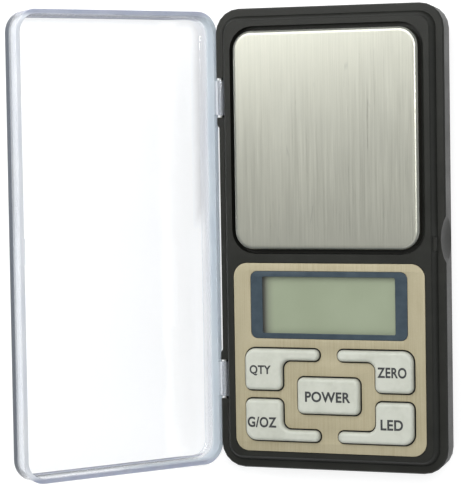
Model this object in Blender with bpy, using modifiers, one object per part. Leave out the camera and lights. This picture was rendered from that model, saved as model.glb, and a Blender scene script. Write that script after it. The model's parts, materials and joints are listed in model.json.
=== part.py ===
"""Pocket gram scale with a clear hinged cover, modelled as separate pieces.

Metres, +Z up. The scale lies on its back: the platform and the keypad face up, the hinge
runs along Y on the -X side, and the platform is at the +Y end. The origin is under the
middle of the case, on the plane that the feet stand on. The cover is at its opening stop.
"""
import math

import bmesh
import bpy
from mathutils import Matrix, Vector

# ---------------------------------------------------------------- driving dimensions
PLATFORM_WIDTH = 0.0500
PLATFORM_LENGTH = 0.0566
PLATFORM_CORNER = 0.0050
PLATFORM_SHEET = 0.0006
PLATFORM_SKIRT = 0.0030
PLATFORM_PROUD = 0.0014
PLATFORM_GAP = 0.0012
PLATFORM_TRAVEL = 0.0005

RIM_WIDTH = 0.0016
RIM_SLOPE_RUN = 0.0011
RIM_RISE = 0.0021
RIM_BRIDGE = 0.0024
LEDGE_WIDTH = 0.0021
CASE_CORNER = 0.0065
CASE_WALL = 0.0016
CASE_FLOOR = 0.0022
LEDGE_THICKNESS = 0.0012
WELL_FLOOR = 0.0012
WELL_DEPTH = 0.0026
PARTING_HEIGHT = 0.0070
PARTING_GAP = 0.0002
TOP_DRAFT = 0.0005
BOTTOM_TAPER = 0.0028
BOTTOM_PROFILE = [(0.0, 1.0), (0.0011, 0.65), (0.0035, 0.36)]  # height, share of the taper

PANEL_OVERHANG = 0.00095
PANEL_CORNER = 0.0036
PANEL_THICKNESS = 0.00035
PANEL_RECESS = 0.0004
PANEL_MARGIN = 0.0024
DECK_THICKNESS = 0.0006

DISPLAY_WIDTH = 0.0425
DISPLAY_LENGTH = 0.0170
DISPLAY_CORNER = 0.0014
DISPLAY_BORDER_X = 0.0033
DISPLAY_BORDER_Y = 0.00145
DISPLAY_SEAT = 0.0004
LCD_THICKNESS = 0.0013
BACKLIGHT_THICKNESS = 0.0005
CONNECTOR_WIDTH = 0.0016

KEY_BLOCK_WIDTH = 0.0102
KEY_LENGTH = 0.0108
KEY_ARM = 0.00295
KEY_ROW_GAP = 0.0024
KEY_SIDE_MARGIN = 0.0031
KEY_TOP_MARGIN = 0.0028
KEY_ARM_SPACE = 0.0050
KEY_OUTER_CORNER = 0.0028
KEY_CORNER = 0.0016
KEY_INNER_CORNER = 0.0022
KEY_PROUD = 0.0015
KEY_GAP = 0.00035
KEY_FLANGE = 0.0006
KEY_FLANGE_THICKNESS = 0.0005
KEY_TRAVEL = 0.0005
KEY_CROWN = 0.0007
KEY_SHOULDER = 0.0002
POWER_KEY_WIDTH = 0.0169
POWER_KEY_LENGTH = 0.0094
MAT_THICKNESS = 0.00025
DOME_RADIUS = 0.0018
DOME_HEIGHT = 0.0008

BOARD_THICKNESS = 0.0008
CHIP_SIZE = 0.0080
CHIP_THICKNESS = 0.0010
CHIP_MARGIN = 0.0015
BOARD_SCREW_RADIUS = 0.0006
BOARD_SCREW_HEAD_RADIUS = 0.0012
BOARD_SCREW_HEAD_HEIGHT = 0.0005
BOARD_SCREW_INSET = 0.0026
BOARD_BOSS_RADIUS = 0.0014
BOARD_INSET = 0.0006

CELL_RADIUS = 0.00525
CELL_LENGTH = 0.0445
CELL_NUB = 0.0008
SPRING_LENGTH = 0.0028
SPRING_WIRE = 0.00025
CONTACT_THICKNESS = 0.0003
COMPARTMENT_WALL = 0.0012
DOOR_THICKNESS = 0.0012
DOOR_TONGUE = 0.0006
DOOR_TONGUE_THICKNESS = 0.0005
DOOR_LAP = 0.0012
GRIP_GROOVES = 5
GRIP_START = 0.0040
GRIP_PITCH = 0.0018
GRIP_GROOVE_WIDTH = 0.0008
GRIP_HALF_WIDTH = 0.0060
GRIP_DEPTH = 0.0003

FOOT_RADIUS = 0.0035
FOOT_PROUD = 0.0005
FOOT_THICKNESS = 0.0010
FOOT_INSET_X = 0.0085
FOOT_INSET_Y = 0.0125

SCREW_HEAD_RADIUS = 0.0015
SCREW_HEAD_HEIGHT = 0.0010
SCREW_RADIUS = 0.0008
SCREW_INSET_X = 0.0130
SCREW_INSET_Y = 0.0051
BOSS_RADIUS = 0.0020

LOAD_CELL_LENGTH = 0.0400
LOAD_CELL_WIDTH = 0.0090
LOAD_CELL_HEIGHT = 0.0060
LOAD_CELL_END = 0.0090
LOAD_CELL_HOLE = 0.0021
LOAD_CELL_SPACER = 0.0025
LOAD_CELL_HEADROOM = 0.00065
WIRE_RADIUS = 0.0006
CARRIER_THICKNESS = 0.0015
PAD_CLEARANCE = 0.0010
STOP_RADIUS = 0.0015
STOP_INSET_X = 0.0060
STOP_INSET_Y = 0.0065
LINK_SCREW_RADIUS = 0.0007
LINK_SCREW_HEAD_RADIUS = 0.0013
LINK_SCREW_HEAD_HEIGHT = 0.0008

COVER_HEIGHT = 0.0068
COVER_PLATE = 0.0016
COVER_WALL = 0.0013
COVER_DRAFT = 0.0003
COVER_EDGE = 0.0014
COVER_INSET = 0.00055
COVER_OPEN_ANGLE = math.radians(123.0)
CATCH_WIDTH = 0.0048
CATCH_OFFSET = -0.0010
CATCH_PASS = 0.0001
HOOK_WIDTH = 0.0067
HOOK_REACH = 0.0002
HOOK_HEIGHT = 0.0010

HINGE_INBOARD = 0.0008
HINGE_DROP = 0.0015
BARREL_RADIUS = 0.00085
PIN_RADIUS = 0.00035
PIN_GRIP = 0.0020
NOTCH_START = 0.0318
NOTCH_WIDTH = 0.0103
NOTCH_DEPTH = 0.0026
HINGE_LUG = 0.0027
HINGE_RECESS = 0.0008

SCALLOP_RADIUS = 0.0145
SCALLOP_DEPTH = 0.00145
SCALLOP_DROP = 0.0015

LAYER_GAP = 0.0001  # clearance between stacked layers that do not move
OVERCUT = 0.001     # how far a cutter runs past the face it opens
SLIP = 0.00015      # clearance between pieces that lie against each other
FIT = 0.0003        # clearance round a piece that drops into a pocket

# ---------------------------------------------------------------- derived layout, X and Y
ISLAND_INSET = LEDGE_WIDTH + RIM_SLOPE_RUN
HALF_WIDTH = PLATFORM_WIDTH / 2 + PLATFORM_GAP + RIM_WIDTH + ISLAND_INSET
PANEL_HALF_WIDTH = PLATFORM_WIDTH / 2 + PANEL_OVERHANG
PANEL_LENGTH = (2 * PANEL_MARGIN + DISPLAY_LENGTH + KEY_TOP_MARGIN
                + 2 * KEY_LENGTH + KEY_ROW_GAP + 0.0005)
WELL_HALF_WIDTH = PLATFORM_WIDTH / 2 + PLATFORM_GAP
WELL_LENGTH = PLATFORM_LENGTH + 2 * PLATFORM_GAP
HALF_LENGTH = (2 * (ISLAND_INSET + RIM_WIDTH) + WELL_LENGTH + RIM_BRIDGE + PANEL_LENGTH) / 2
WELL_TOP = HALF_LENGTH - ISLAND_INSET - RIM_WIDTH
WELL_Y = WELL_TOP - WELL_LENGTH / 2
PANEL_TOP = WELL_TOP - WELL_LENGTH - RIM_BRIDGE
PANEL_Y = PANEL_TOP - PANEL_LENGTH / 2
DISPLAY_Y = PANEL_TOP - PANEL_MARGIN - DISPLAY_LENGTH / 2
KEYS_TOP = DISPLAY_Y - DISPLAY_LENGTH / 2 - KEY_TOP_MARGIN
KEYS_Y = KEYS_TOP - KEY_LENGTH - KEY_ROW_GAP / 2
KEY_OUTER_X = PANEL_HALF_WIDTH - KEY_SIDE_MARGIN

# ---------------------------------------------------------------- derived layout, Z
BASE_Z = FOOT_PROUD
FLOOR_Z = BASE_Z + CASE_FLOOR
CELL_Z = BASE_Z + DOOR_THICKNESS + SLIP + CELL_RADIUS
BOARD_Z = CELL_Z + CELL_RADIUS + 0.0002
BOARD_TOP = BOARD_Z + BOARD_THICKNESS
MAT_Z = BOARD_TOP + LAYER_GAP
MAT_TOP = MAT_Z + MAT_THICKNESS
FLANGE_Z = MAT_TOP + KEY_TRAVEL + SLIP
FLANGE_TOP = FLANGE_Z + KEY_FLANGE_THICKNESS
DECK_Z = FLANGE_TOP + SLIP
RECESS_Z = DECK_Z + DECK_THICKNESS
RIM_Z = RECESS_Z + PANEL_RECESS
LEDGE_Z = RIM_Z - RIM_RISE
PLATFORM_TOP = RIM_Z + PLATFORM_PROUD
PARTING_Z = BASE_Z + PARTING_HEIGHT
WELL_Z = RIM_Z - WELL_DEPTH
LCD_TOP = RECESS_Z - 0.00025
LCD_Z = LCD_TOP - LCD_THICKNESS
BACKLIGHT_Z = LCD_Z - LAYER_GAP - BACKLIGHT_THICKNESS
CARRIER_TOP = PLATFORM_TOP - PLATFORM_SHEET - SLIP
CARRIER_Z = CARRIER_TOP - CARRIER_THICKNESS
WELL_UNDERSIDE = WELL_Z - WELL_FLOOR
SPACER_ROOM = WELL_UNDERSIDE - LOAD_CELL_HEADROOM - LOAD_CELL_HEIGHT - 2 * SLIP - FLOOR_Z
SPACER_HEIGHT = min(LOAD_CELL_SPACER, SPACER_ROOM)
LOAD_CELL_Z = FLOOR_Z + SLIP + SPACER_HEIGHT + SLIP
LOAD_CELL_TOP = LOAD_CELL_Z + LOAD_CELL_HEIGHT
COVER_RIM_Z = LEDGE_Z + 0.0002
COVER_TOP = COVER_RIM_Z + COVER_HEIGHT
COVER_INNER_X = HALF_WIDTH - COVER_INSET - COVER_WALL
HINGE_AXIS = Vector((-HALF_WIDTH + HINGE_INBOARD, 0.0, LEDGE_Z - HINGE_DROP))

# ---------------------------------------------------------------- derived battery bay
BAY_HALF_LENGTH = (CELL_LENGTH + SPRING_LENGTH) / 2 + CONTACT_THICKNESS + 2 * SLIP
BAY_HALF_WIDTH = 2 * CELL_RADIUS + 2 * SLIP
BAY_Y = -HALF_LENGTH + CASE_WALL + BOTTOM_TAPER + COMPARTMENT_WALL + BAY_HALF_LENGTH
DOOR_HALF_WIDTH = BAY_HALF_WIDTH + DOOR_LAP
DOOR_TOP_Y = BAY_Y + BAY_HALF_LENGTH + DOOR_LAP
DOOR_END_Y = -(HALF_LENGTH - BOTTOM_TAPER - TOP_DRAFT)
TONGUE_Z = BASE_Z + DOOR_THICKNESS - DOOR_TONGUE_THICKNESS - LAYER_GAP


# ---------------------------------------------------------------- scene, materials
def clear_scene():
    for thing in list(bpy.data.objects):
        bpy.data.objects.remove(thing, do_unlink=True)


def new_collection(name):
    collection = bpy.data.collections.new(name)
    bpy.context.scene.collection.children.link(collection)
    return collection


def material(name, colour, roughness, metallic=0.0):
    found = bpy.data.materials.get(name)
    if found:
        return found
    made = bpy.data.materials.new(name)
    made.use_nodes = True
    shader = made.node_tree.nodes["Principled BSDF"]
    shader.inputs["Base Color"].default_value = (*colour, 1.0)
    shader.inputs["Roughness"].default_value = roughness
    shader.inputs["Metallic"].default_value = metallic
    return made


def case_plastic():
    return material("case_plastic", (0.026, 0.026, 0.024), 0.5)


def inner_plastic():
    return material("inner_plastic", (0.05, 0.05, 0.05), 0.6)


def steel():
    return material("steel", (0.60, 0.60, 0.58), 0.35, 1.0)


def key_rubber():
    return material("key_rubber", (0.62, 0.64, 0.60), 0.5)


clear_scene()
PARTS = new_collection("gram_scale")
CUTTERS = new_collection("cutters")


# ---------------------------------------------------------------- outlines
def arc(centre, radius, start, sweep, segments):
    steps = range(segments + 1)
    angles = [start + sweep * step / segments for step in steps]
    return [(centre[0] + radius * math.cos(a), centre[1] + radius * math.sin(a)) for a in angles]


def rectangle(half_x, half_y, radius, centre=(0.0, 0.0), segments=5):
    """Counter-clockwise rounded rectangle."""
    points = []
    for quarter, (sx, sy) in enumerate(((1, 1), (-1, 1), (-1, -1), (1, -1))):
        corner = (centre[0] + sx * (half_x - radius), centre[1] + sy * (half_y - radius))
        points += arc(corner, radius, quarter * math.pi / 2, math.pi / 2, segments)
    return points


def key_outline(side, end, grow):
    """Outline of a corner key: a block with a thin arm that reaches in towards the middle.

    side is +1 on the right and -1 on the left, end is +1 in the upper row and -1 in the
    lower one, and grow moves the whole outline outwards.
    """
    outer_x = KEY_OUTER_X + grow
    inner_x = KEY_OUTER_X - KEY_BLOCK_WIDTH - grow
    tip_x = KEY_ARM_SPACE / 2 - grow
    far_y = KEY_ROW_GAP / 2 + KEY_LENGTH + grow
    near_y = KEY_ROW_GAP / 2 - grow
    arm_y = KEY_ROW_GAP / 2 + KEY_LENGTH - KEY_ARM - grow
    quarter = math.pi / 2
    outer = KEY_OUTER_CORNER + grow
    small = KEY_CORNER + grow
    tip = KEY_ARM / 2 - 0.0001 + grow
    hollow = KEY_INNER_CORNER - grow
    points = arc((outer_x - outer, far_y - outer), outer, 0, quarter, 6)
    points += arc((tip_x + tip, far_y - tip), tip, quarter, quarter, 4)
    points += arc((tip_x + tip, arm_y + tip), tip, 2 * quarter, quarter, 4)
    points += arc((inner_x - hollow, arm_y - hollow), hollow, quarter, -quarter, 4)
    points += arc((inner_x + small, near_y + small), small, 2 * quarter, quarter, 4)
    points += arc((outer_x - small, near_y + small), small, 3 * quarter, quarter, 4)
    placed = [(side * x, KEYS_Y + end * y) for x, y in points]
    if side * end < 0:
        placed.reverse()
    return placed


def power_outline(grow):
    return rectangle(POWER_KEY_WIDTH / 2 + grow, POWER_KEY_LENGTH / 2 + grow,
                     KEY_CORNER + grow, (0.0, KEYS_Y), 4)


# ---------------------------------------------------------------- solids
def finish(name, bm, surface, collection=PARTS, smooth=True):
    bmesh.ops.recalc_face_normals(bm, faces=bm.faces[:])
    mesh = bpy.data.meshes.new(name)
    bm.to_mesh(mesh)
    bm.free()
    if smooth:
        mesh.shade_smooth()
        mesh.set_sharp_from_angle(angle=math.radians(35))
    made = bpy.data.objects.new(name, mesh)
    collection.objects.link(made)
    if surface:
        mesh.materials.append(surface)
    if collection is CUTTERS:
        made.hide_render = True
        made.display_type = 'WIRE'
    return made


def loft(name, sections, surface=None, collection=PARTS):
    """Closed solid through outlines of equal length, given as (z, points) from the bottom."""
    bm = bmesh.new()
    rings = [[bm.verts.new((x, y, z)) for x, y in points] for z, points in sections]
    for lower, upper in zip(rings, rings[1:]):
        for i in range(len(lower)):
            j = (i + 1) % len(lower)
            bm.faces.new((lower[i], lower[j], upper[j], upper[i]))
    bm.faces.new(reversed(rings[0]))
    bm.faces.new(rings[-1])
    return finish(name, bm, surface, collection)


def prism(name, points, low, high, surface=None, collection=PARTS):
    return loft(name, [(low, points), (high, points)], surface, collection)


def box(name, low, high, surface=None, collection=PARTS):
    bm = bmesh.new()
    bmesh.ops.create_cube(bm, size=1.0)
    low, high = Vector(low), Vector(high)
    size = high - low
    bmesh.ops.scale(bm, vec=size, verts=bm.verts[:])
    bmesh.ops.translate(bm, vec=(low + high) / 2, verts=bm.verts[:])
    return finish(name, bm, surface, collection)


def rod(name, start, end, radius, surface=None, collection=PARTS, sides=20, top_radius=None):
    """Cylinder or cone between two points."""
    start, end = Vector(start), Vector(end)
    along = end - start
    bm = bmesh.new()
    bmesh.ops.create_cone(bm, cap_ends=True, segments=sides, radius1=radius,
                          radius2=radius if top_radius is None else top_radius,
                          depth=along.length)
    turn = along.to_track_quat('Z', 'Y').to_matrix().to_4x4()
    bmesh.ops.transform(bm, matrix=Matrix.Translation((start + end) / 2) @ turn,
                        verts=bm.verts[:])
    return finish(name, bm, surface, collection)


def boolean(target, tools, operation):
    for tool in tools:
        step = target.modifiers.new(tool.name, 'BOOLEAN')
        step.operation = operation
        step.object = tool
    return target


def cut(target, *tools):
    return boolean(target, tools, 'DIFFERENCE')


def join(target, *tools):
    return boolean(target, tools, 'UNION')


def cutter_prism(name, points, low, high):
    return prism(name, points, low, high, None, CUTTERS)


def cutter_box(name, low, high):
    return box(name, low, high, None, CUTTERS)


def cutter_rod(name, start, end, radius, sides=20, top_radius=None):
    return rod(name, start, end, radius, None, CUTTERS, sides, top_radius)


# ---------------------------------------------------------------- case
def case_outline(inset):
    radius = max(CASE_CORNER - inset, 0.0012)
    return rectangle(HALF_WIDTH - inset, HALF_LENGTH - inset, radius)


def screw_places():
    x = HALF_WIDTH - SCREW_INSET_X
    y = HALF_LENGTH - SCREW_INSET_Y
    return [(-x, y), (x, y), (-x, -y), (x, -y)]


def foot_places():
    x = HALF_WIDTH - FOOT_INSET_X
    y = HALF_LENGTH - FOOT_INSET_Y
    return [(-x, y), (x, y), (-x, -y), (x, -y)]


def finger_scallop():
    """Shallow dish on the side away from the hinge, where a fingertip lifts the cover."""
    bm = bmesh.new()
    bmesh.ops.create_uvsphere(bm, u_segments=40, v_segments=20, radius=SCALLOP_RADIUS)
    place = (HALF_WIDTH + SCALLOP_RADIUS - SCALLOP_DEPTH, 0.0, LEDGE_Z - SCALLOP_DROP)
    bmesh.ops.translate(bm, vec=place, verts=bm.verts[:])
    return finish("scallop_cutter", bm, None, CUTTERS)


def bay_outline():
    return rectangle(BAY_HALF_WIDTH, BAY_HALF_LENGTH, 0.0004, (0.0, BAY_Y), 2)


def bottom_case(scallop):
    taper = BOTTOM_TAPER
    top = PARTING_Z - PARTING_GAP
    outer = [(BASE_Z + rise, case_outline(TOP_DRAFT + taper * share))
             for rise, share in BOTTOM_PROFILE]
    outer.append((top, case_outline(TOP_DRAFT)))
    shell = loft("bottom_case", outer, case_plastic())
    wall = TOP_DRAFT + CASE_WALL
    hollow = loft("bottom_hollow", [(FLOOR_Z, case_outline(wall + taper * 0.55)),
                                    (BASE_Z + 0.0040, case_outline(wall + taper * 0.33)),
                                    (top + OVERCUT, case_outline(wall))], None, CUTTERS)
    cut(shell, hollow)
    bay = rectangle(BAY_HALF_WIDTH + COMPARTMENT_WALL, BAY_HALF_LENGTH + COMPARTMENT_WALL,
                    0.0012, (0.0, BAY_Y), 2)
    bay_top = min(BOARD_Z, WELL_UNDERSIDE) - SLIP
    join(shell, cutter_prism("bay_walls", bay, FLOOR_Z - 0.0005, bay_top))
    bosses = [cutter_rod(f"bottom_boss_{i}", (x, y, FLOOR_Z - 0.0005), (x, y, top),
                         BOSS_RADIUS + 0.0002) for i, (x, y) in enumerate(screw_places())]
    join(shell, *bosses)
    cut(shell, cutter_prism("bay_room", bay_outline(), BASE_Z - OVERCUT, BOARD_Z + OVERCUT))
    door_bottom = BASE_Z - OVERCUT
    channel_half = DOOR_HALF_WIDTH + SLIP
    groove_half = channel_half + DOOR_TONGUE
    cut(shell,
        cutter_box("door_channel", (-channel_half, -HALF_LENGTH - OVERCUT, door_bottom),
                   (channel_half, DOOR_TOP_Y + SLIP, BASE_Z + DOOR_THICKNESS + SLIP)),
        cutter_box("door_grooves", (-groove_half, -HALF_LENGTH - 2 * OVERCUT, TONGUE_Z - SLIP),
                   (groove_half, DOOR_TOP_Y + SLIP, TONGUE_Z + DOOR_TONGUE_THICKNESS + SLIP)))
    for i, (x, y) in enumerate(screw_places()):
        cut(shell,
            cutter_rod(f"screw_way_{i}", (x, y, BASE_Z - OVERCUT), (x, y, PARTING_Z),
                       SCREW_RADIUS + SLIP),
            cutter_rod(f"head_way_{i}", (x, y, BASE_Z - OVERCUT),
                       (x, y, FLOOR_Z + SCREW_HEAD_HEIGHT), SCREW_HEAD_RADIUS + FIT))
    for i, (x, y) in enumerate(foot_places()):
        cut(shell, cutter_rod(f"foot_pocket_{i}", (x, y, BASE_Z - OVERCUT),
                              (x, y, FOOT_THICKNESS + SLIP), FOOT_RADIUS + SLIP, 28))
    cut(shell, scallop)
    return shell


def hinge_pocket(end):
    """Outline of the notch that a cover barrel turns in; end is +1 or -1 along Y."""
    near = NOTCH_START * end
    far = (NOTCH_START + NOTCH_WIDTH) * end
    return min(near, far), max(near, far)


def top_case(scallop):
    shell = loft("top_case", [(PARTING_Z, case_outline(TOP_DRAFT)),
                              (LEDGE_Z - 0.0005, case_outline(0.00005)),
                              (LEDGE_Z, case_outline(0.0004))], case_plastic())
    join(shell, loft("island", [(LEDGE_Z - 0.0005, case_outline(LEDGE_WIDTH)),
                                (LEDGE_Z, case_outline(LEDGE_WIDTH)),
                                (RIM_Z - 0.0003, case_outline(ISLAND_INSET - 0.00015)),
                                (RIM_Z, case_outline(ISLAND_INSET + 0.0002))], None, CUTTERS))
    ceiling = LEDGE_Z - LEDGE_THICKNESS
    wall = TOP_DRAFT + CASE_WALL
    cut(shell, loft("top_hollow", [(PARTING_Z - OVERCUT, case_outline(wall)),
                                   (min(ceiling, WELL_UNDERSIDE), case_outline(wall))],
                    None, CUTTERS))
    inner_x = HALF_WIDTH - ISLAND_INSET - LEDGE_THICKNESS
    keypad_top = WELL_TOP - WELL_LENGTH - COMPARTMENT_WALL
    keypad_end = -(HALF_LENGTH - ISLAND_INSET - LEDGE_THICKNESS)
    keypad = rectangle(inner_x, (keypad_top - keypad_end) / 2, 0.0020,
                       (0.0, (keypad_top + keypad_end) / 2), 4)
    cut(shell, cutter_prism("keypad_hollow", keypad, PARTING_Z, DECK_Z),
        cutter_prism("cell_relief", bay_outline(), PARTING_Z, CELL_Z + CELL_RADIUS + SLIP))
    well = rectangle(WELL_HALF_WIDTH, WELL_LENGTH / 2, PLATFORM_CORNER + PLATFORM_GAP,
                     (0.0, WELL_Y))
    cut(shell, cutter_prism("platform_well", well, WELL_Z, RIM_Z + OVERCUT))
    recess = rectangle(PANEL_HALF_WIDTH + SLIP, PANEL_LENGTH / 2 + SLIP, PANEL_CORNER,
                       (0.0, PANEL_Y))
    cut(shell, cutter_prism("panel_recess", recess, RECESS_Z, RIM_Z + OVERCUT))
    add_case_bosses(shell)
    add_hinge_notches(shell)
    add_openings(shell, DECK_Z - OVERCUT, RIM_Z + OVERCUT, "deck", DISPLAY_SEAT)
    add_catch(shell)
    cut(shell, scallop)
    return shell


def add_case_bosses(shell):
    boss_top = LEDGE_Z - LEDGE_THICKNESS + 0.0003
    for i, (x, y) in enumerate(screw_places()):
        join(shell, cutter_rod(f"top_boss_{i}", (x, y, PARTING_Z), (x, y, boss_top), BOSS_RADIUS))
        cut(shell, cutter_rod(f"pilot_{i}", (x, y, PARTING_Z - OVERCUT), (x, y, boss_top - 0.0012),
                              SCREW_RADIUS + SLIP))
    for i, (x, y) in enumerate(board_screw_places()):
        join(shell, cutter_rod(f"board_boss_{i}", (x, y, BOARD_TOP + SLIP),
                               (x, y, DECK_Z + 0.0002), BOARD_BOSS_RADIUS))
        cut(shell, cutter_rod(f"board_pilot_{i}", (x, y, BOARD_TOP), (x, y, DECK_Z),
                              BOARD_SCREW_RADIUS + SLIP, 14))
    stop_top = CARRIER_Z - PLATFORM_TRAVEL - SLIP
    for i, (x, y) in enumerate(stop_places()):
        join(shell, cutter_rod(f"overload_stop_{i}", (x, y, WELL_Z - 0.0003), (x, y, stop_top),
                               STOP_RADIUS))
    pad_x, pad_y = carrier_pad()
    window = rectangle(pad_x + PAD_CLEARANCE, pad_y + PAD_CLEARANCE, 0.0015,
                       (0.0, WELL_Y + load_end_offset()), 3)
    cut(shell, cutter_prism("carrier_window", window, WELL_Z - 0.004, WELL_Z + 0.002))


def add_hinge_notches(shell):
    outside = -HALF_WIDTH - OVERCUT
    pocket_floor = HINGE_AXIS.z - BARREL_RADIUS - SLIP
    for end, label in ((1, "upper"), (-1, "lower")):
        low_y, high_y = hinge_pocket(end)
        inner = -HALF_WIDTH + NOTCH_DEPTH
        join(shell, cutter_box(f"pocket_{label}",
                               (-HALF_WIDTH + CASE_WALL / 2, low_y - 0.0012, pocket_floor - 0.0012),
                               (inner + 0.0012, high_y + 0.0012, LEDGE_Z - 0.0002)))
        cut(shell, cutter_box(f"notch_{label}", (outside, low_y, pocket_floor),
                              (inner, high_y, LEDGE_Z + 0.0010)))
        cut(shell, cutter_rod(f"pin_hole_{label}",
                              (HINGE_AXIS.x, low_y - PIN_GRIP - SLIP, HINGE_AXIS.z),
                              (HINGE_AXIS.x, high_y + PIN_GRIP + SLIP, HINGE_AXIS.z),
                              PIN_RADIUS + SLIP / 2, 12))
    half = NOTCH_START - HINGE_LUG
    back = -HALF_WIDTH + HINGE_RECESS
    slope = 0.0010
    strip = [(outside, -half - slope), (-HALF_WIDTH, -half - slope), (back, -half),
             (back, half), (-HALF_WIDTH, half + slope), (outside, half + slope)]
    cut(shell, cutter_prism("hinge_recess", strip, PARTING_Z + 0.0015, LEDGE_Z + OVERCUT))


def add_openings(plate, low, high, label, seat=None):
    """Cut the five key openings and the display opening through a plate."""
    for name, outline in key_outlines(KEY_GAP).items():
        cut(plate, cutter_prism(f"{label}_{name}_hole", outline, low, high))
    if seat is None:
        window = rectangle(DISPLAY_WIDTH / 2 + SLIP / 2, DISPLAY_LENGTH / 2 + SLIP / 2,
                           DISPLAY_CORNER, (0.0, DISPLAY_Y), 5)
    else:
        window = rectangle(DISPLAY_WIDTH / 2 - seat, DISPLAY_LENGTH / 2 - seat,
                           DISPLAY_CORNER - seat, (0.0, DISPLAY_Y), 5)
    cut(plate, cutter_prism(f"{label}_window", window, low, high))


def add_catch(shell):
    """Small boss on the rim wall that the hook of the cover passes."""
    face = COVER_INNER_X - HOOK_REACH - CATCH_PASS
    root = HALF_WIDTH - ISLAND_INSET - 0.0002
    half = CATCH_WIDTH / 2
    outline = [(root, -half), (face, -half * 0.7), (face, half * 0.7), (root, half)]
    outline = [(x, y + CATCH_OFFSET) for x, y in outline]
    join(shell, cutter_prism("catch_boss", outline, LEDGE_Z - 0.0003, RIM_Z - 0.0006))


# ---------------------------------------------------------------- keypad and display
def key_outlines(grow):
    return {"pieces_key": key_outline(-1, 1, grow),
            "tare_key": key_outline(1, 1, grow),
            "units_key": key_outline(-1, -1, grow),
            "light_key": key_outline(1, -1, grow),
            "power_key": power_outline(grow)}


def dome_places():
    x = KEY_OUTER_X - KEY_BLOCK_WIDTH / 2
    y = KEY_ROW_GAP / 2 + KEY_LENGTH / 2
    return {"pieces_key": (-x, KEYS_Y + y), "tare_key": (x, KEYS_Y + y),
            "units_key": (-x, KEYS_Y - y), "light_key": (x, KEYS_Y - y),
            "power_key": (0.0, KEYS_Y)}


def keys():
    flange = key_outlines(KEY_FLANGE)
    side = key_outlines(0.0)
    shoulder = key_outlines(-KEY_SHOULDER)
    crown = key_outlines(-KEY_CROWN)
    top = RIM_Z + KEY_PROUD
    for name, (x, y) in dome_places().items():
        key = loft(name, [(FLANGE_Z, flange[name]), (FLANGE_TOP, flange[name]),
                          (FLANGE_TOP + 0.0001, side[name]), (top - KEY_CROWN, side[name]),
                          (top - KEY_SHOULDER, shoulder[name]), (top, crown[name])],
                   key_rubber())
        cut(key, cutter_rod(f"{name}_hollow", (x, y, FLANGE_Z - OVERCUT),
                            (x, y, MAT_TOP + DOME_HEIGHT + KEY_TRAVEL + SLIP),
                            DOME_RADIUS + 0.0004, 16))


def key_mat():
    half_x = KEY_OUTER_X + KEY_FLANGE + 0.0003
    half_y = KEY_ROW_GAP / 2 + KEY_LENGTH + KEY_FLANGE
    mat = prism("key_mat", rectangle(half_x, half_y, 0.0030, (0.0, KEYS_Y), 4), MAT_Z, MAT_TOP,
                material("mat_rubber", (0.40, 0.41, 0.40), 0.7))
    for name, (x, y) in dome_places().items():
        join(mat, cutter_rod(f"{name}_dome", (x, y, MAT_TOP - 0.0001),
                             (x, y, MAT_TOP + DOME_HEIGHT), DOME_RADIUS, 16, DOME_RADIUS * 0.55))


def keypad_panel():
    outline = rectangle(PANEL_HALF_WIDTH, PANEL_LENGTH / 2, PANEL_CORNER, (0.0, PANEL_Y))
    low = RECESS_Z + LAYER_GAP
    panel = prism("keypad_panel", outline, low, low + PANEL_THICKNESS,
                  material("panel_metallic", (0.45, 0.40, 0.27), 0.45, 0.2))
    add_openings(panel, low - OVERCUT, low + 2 * OVERCUT, "panel")


def display():
    centre = (0.0, DISPLAY_Y)
    low = RECESS_Z + LAYER_GAP
    high = low + PANEL_THICKNESS
    bezel = prism("display_surround",
                  rectangle(DISPLAY_WIDTH / 2, DISPLAY_LENGTH / 2, DISPLAY_CORNER, centre, 5),
                  low, high, material("surround_blue", (0.05, 0.075, 0.11), 0.25))
    view_x = DISPLAY_WIDTH / 2 - DISPLAY_BORDER_X
    view_y = DISPLAY_LENGTH / 2 - DISPLAY_BORDER_Y
    cut(bezel, cutter_prism("surround_window", rectangle(view_x, view_y, 0.0004, centre, 2),
                            low - OVERCUT, high + OVERCUT))
    lcd_x = DISPLAY_WIDTH / 2 - DISPLAY_SEAT - FIT
    lcd_y = DISPLAY_LENGTH / 2 - DISPLAY_SEAT - FIT
    prism("lcd_glass", rectangle(lcd_x, lcd_y, 0.0003, centre, 2), LCD_Z, LCD_TOP,
          material("lcd_green_grey", (0.33, 0.38, 0.28), 0.15))
    backlight_top = BACKLIGHT_Z + BACKLIGHT_THICKNESS
    light_low_y = DISPLAY_Y - lcd_y + CONNECTOR_WIDTH + FIT
    box("lcd_backlight", (-lcd_x, light_low_y, BACKLIGHT_Z),
        (lcd_x, DISPLAY_Y + lcd_y, backlight_top),
        material("backlight_white", (0.75, 0.78, 0.80), 0.4))
    box("lcd_connector_strip", (-lcd_x, DISPLAY_Y - lcd_y, BACKLIGHT_Z),
        (lcd_x, DISPLAY_Y - lcd_y + CONNECTOR_WIDTH, backlight_top),
        material("connector_rubber", (0.55, 0.35, 0.35), 0.6))


def board_screw_places():
    x = PANEL_HALF_WIDTH - BOARD_SCREW_INSET
    return [(-x, DISPLAY_Y), (x, DISPLAY_Y)]


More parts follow.
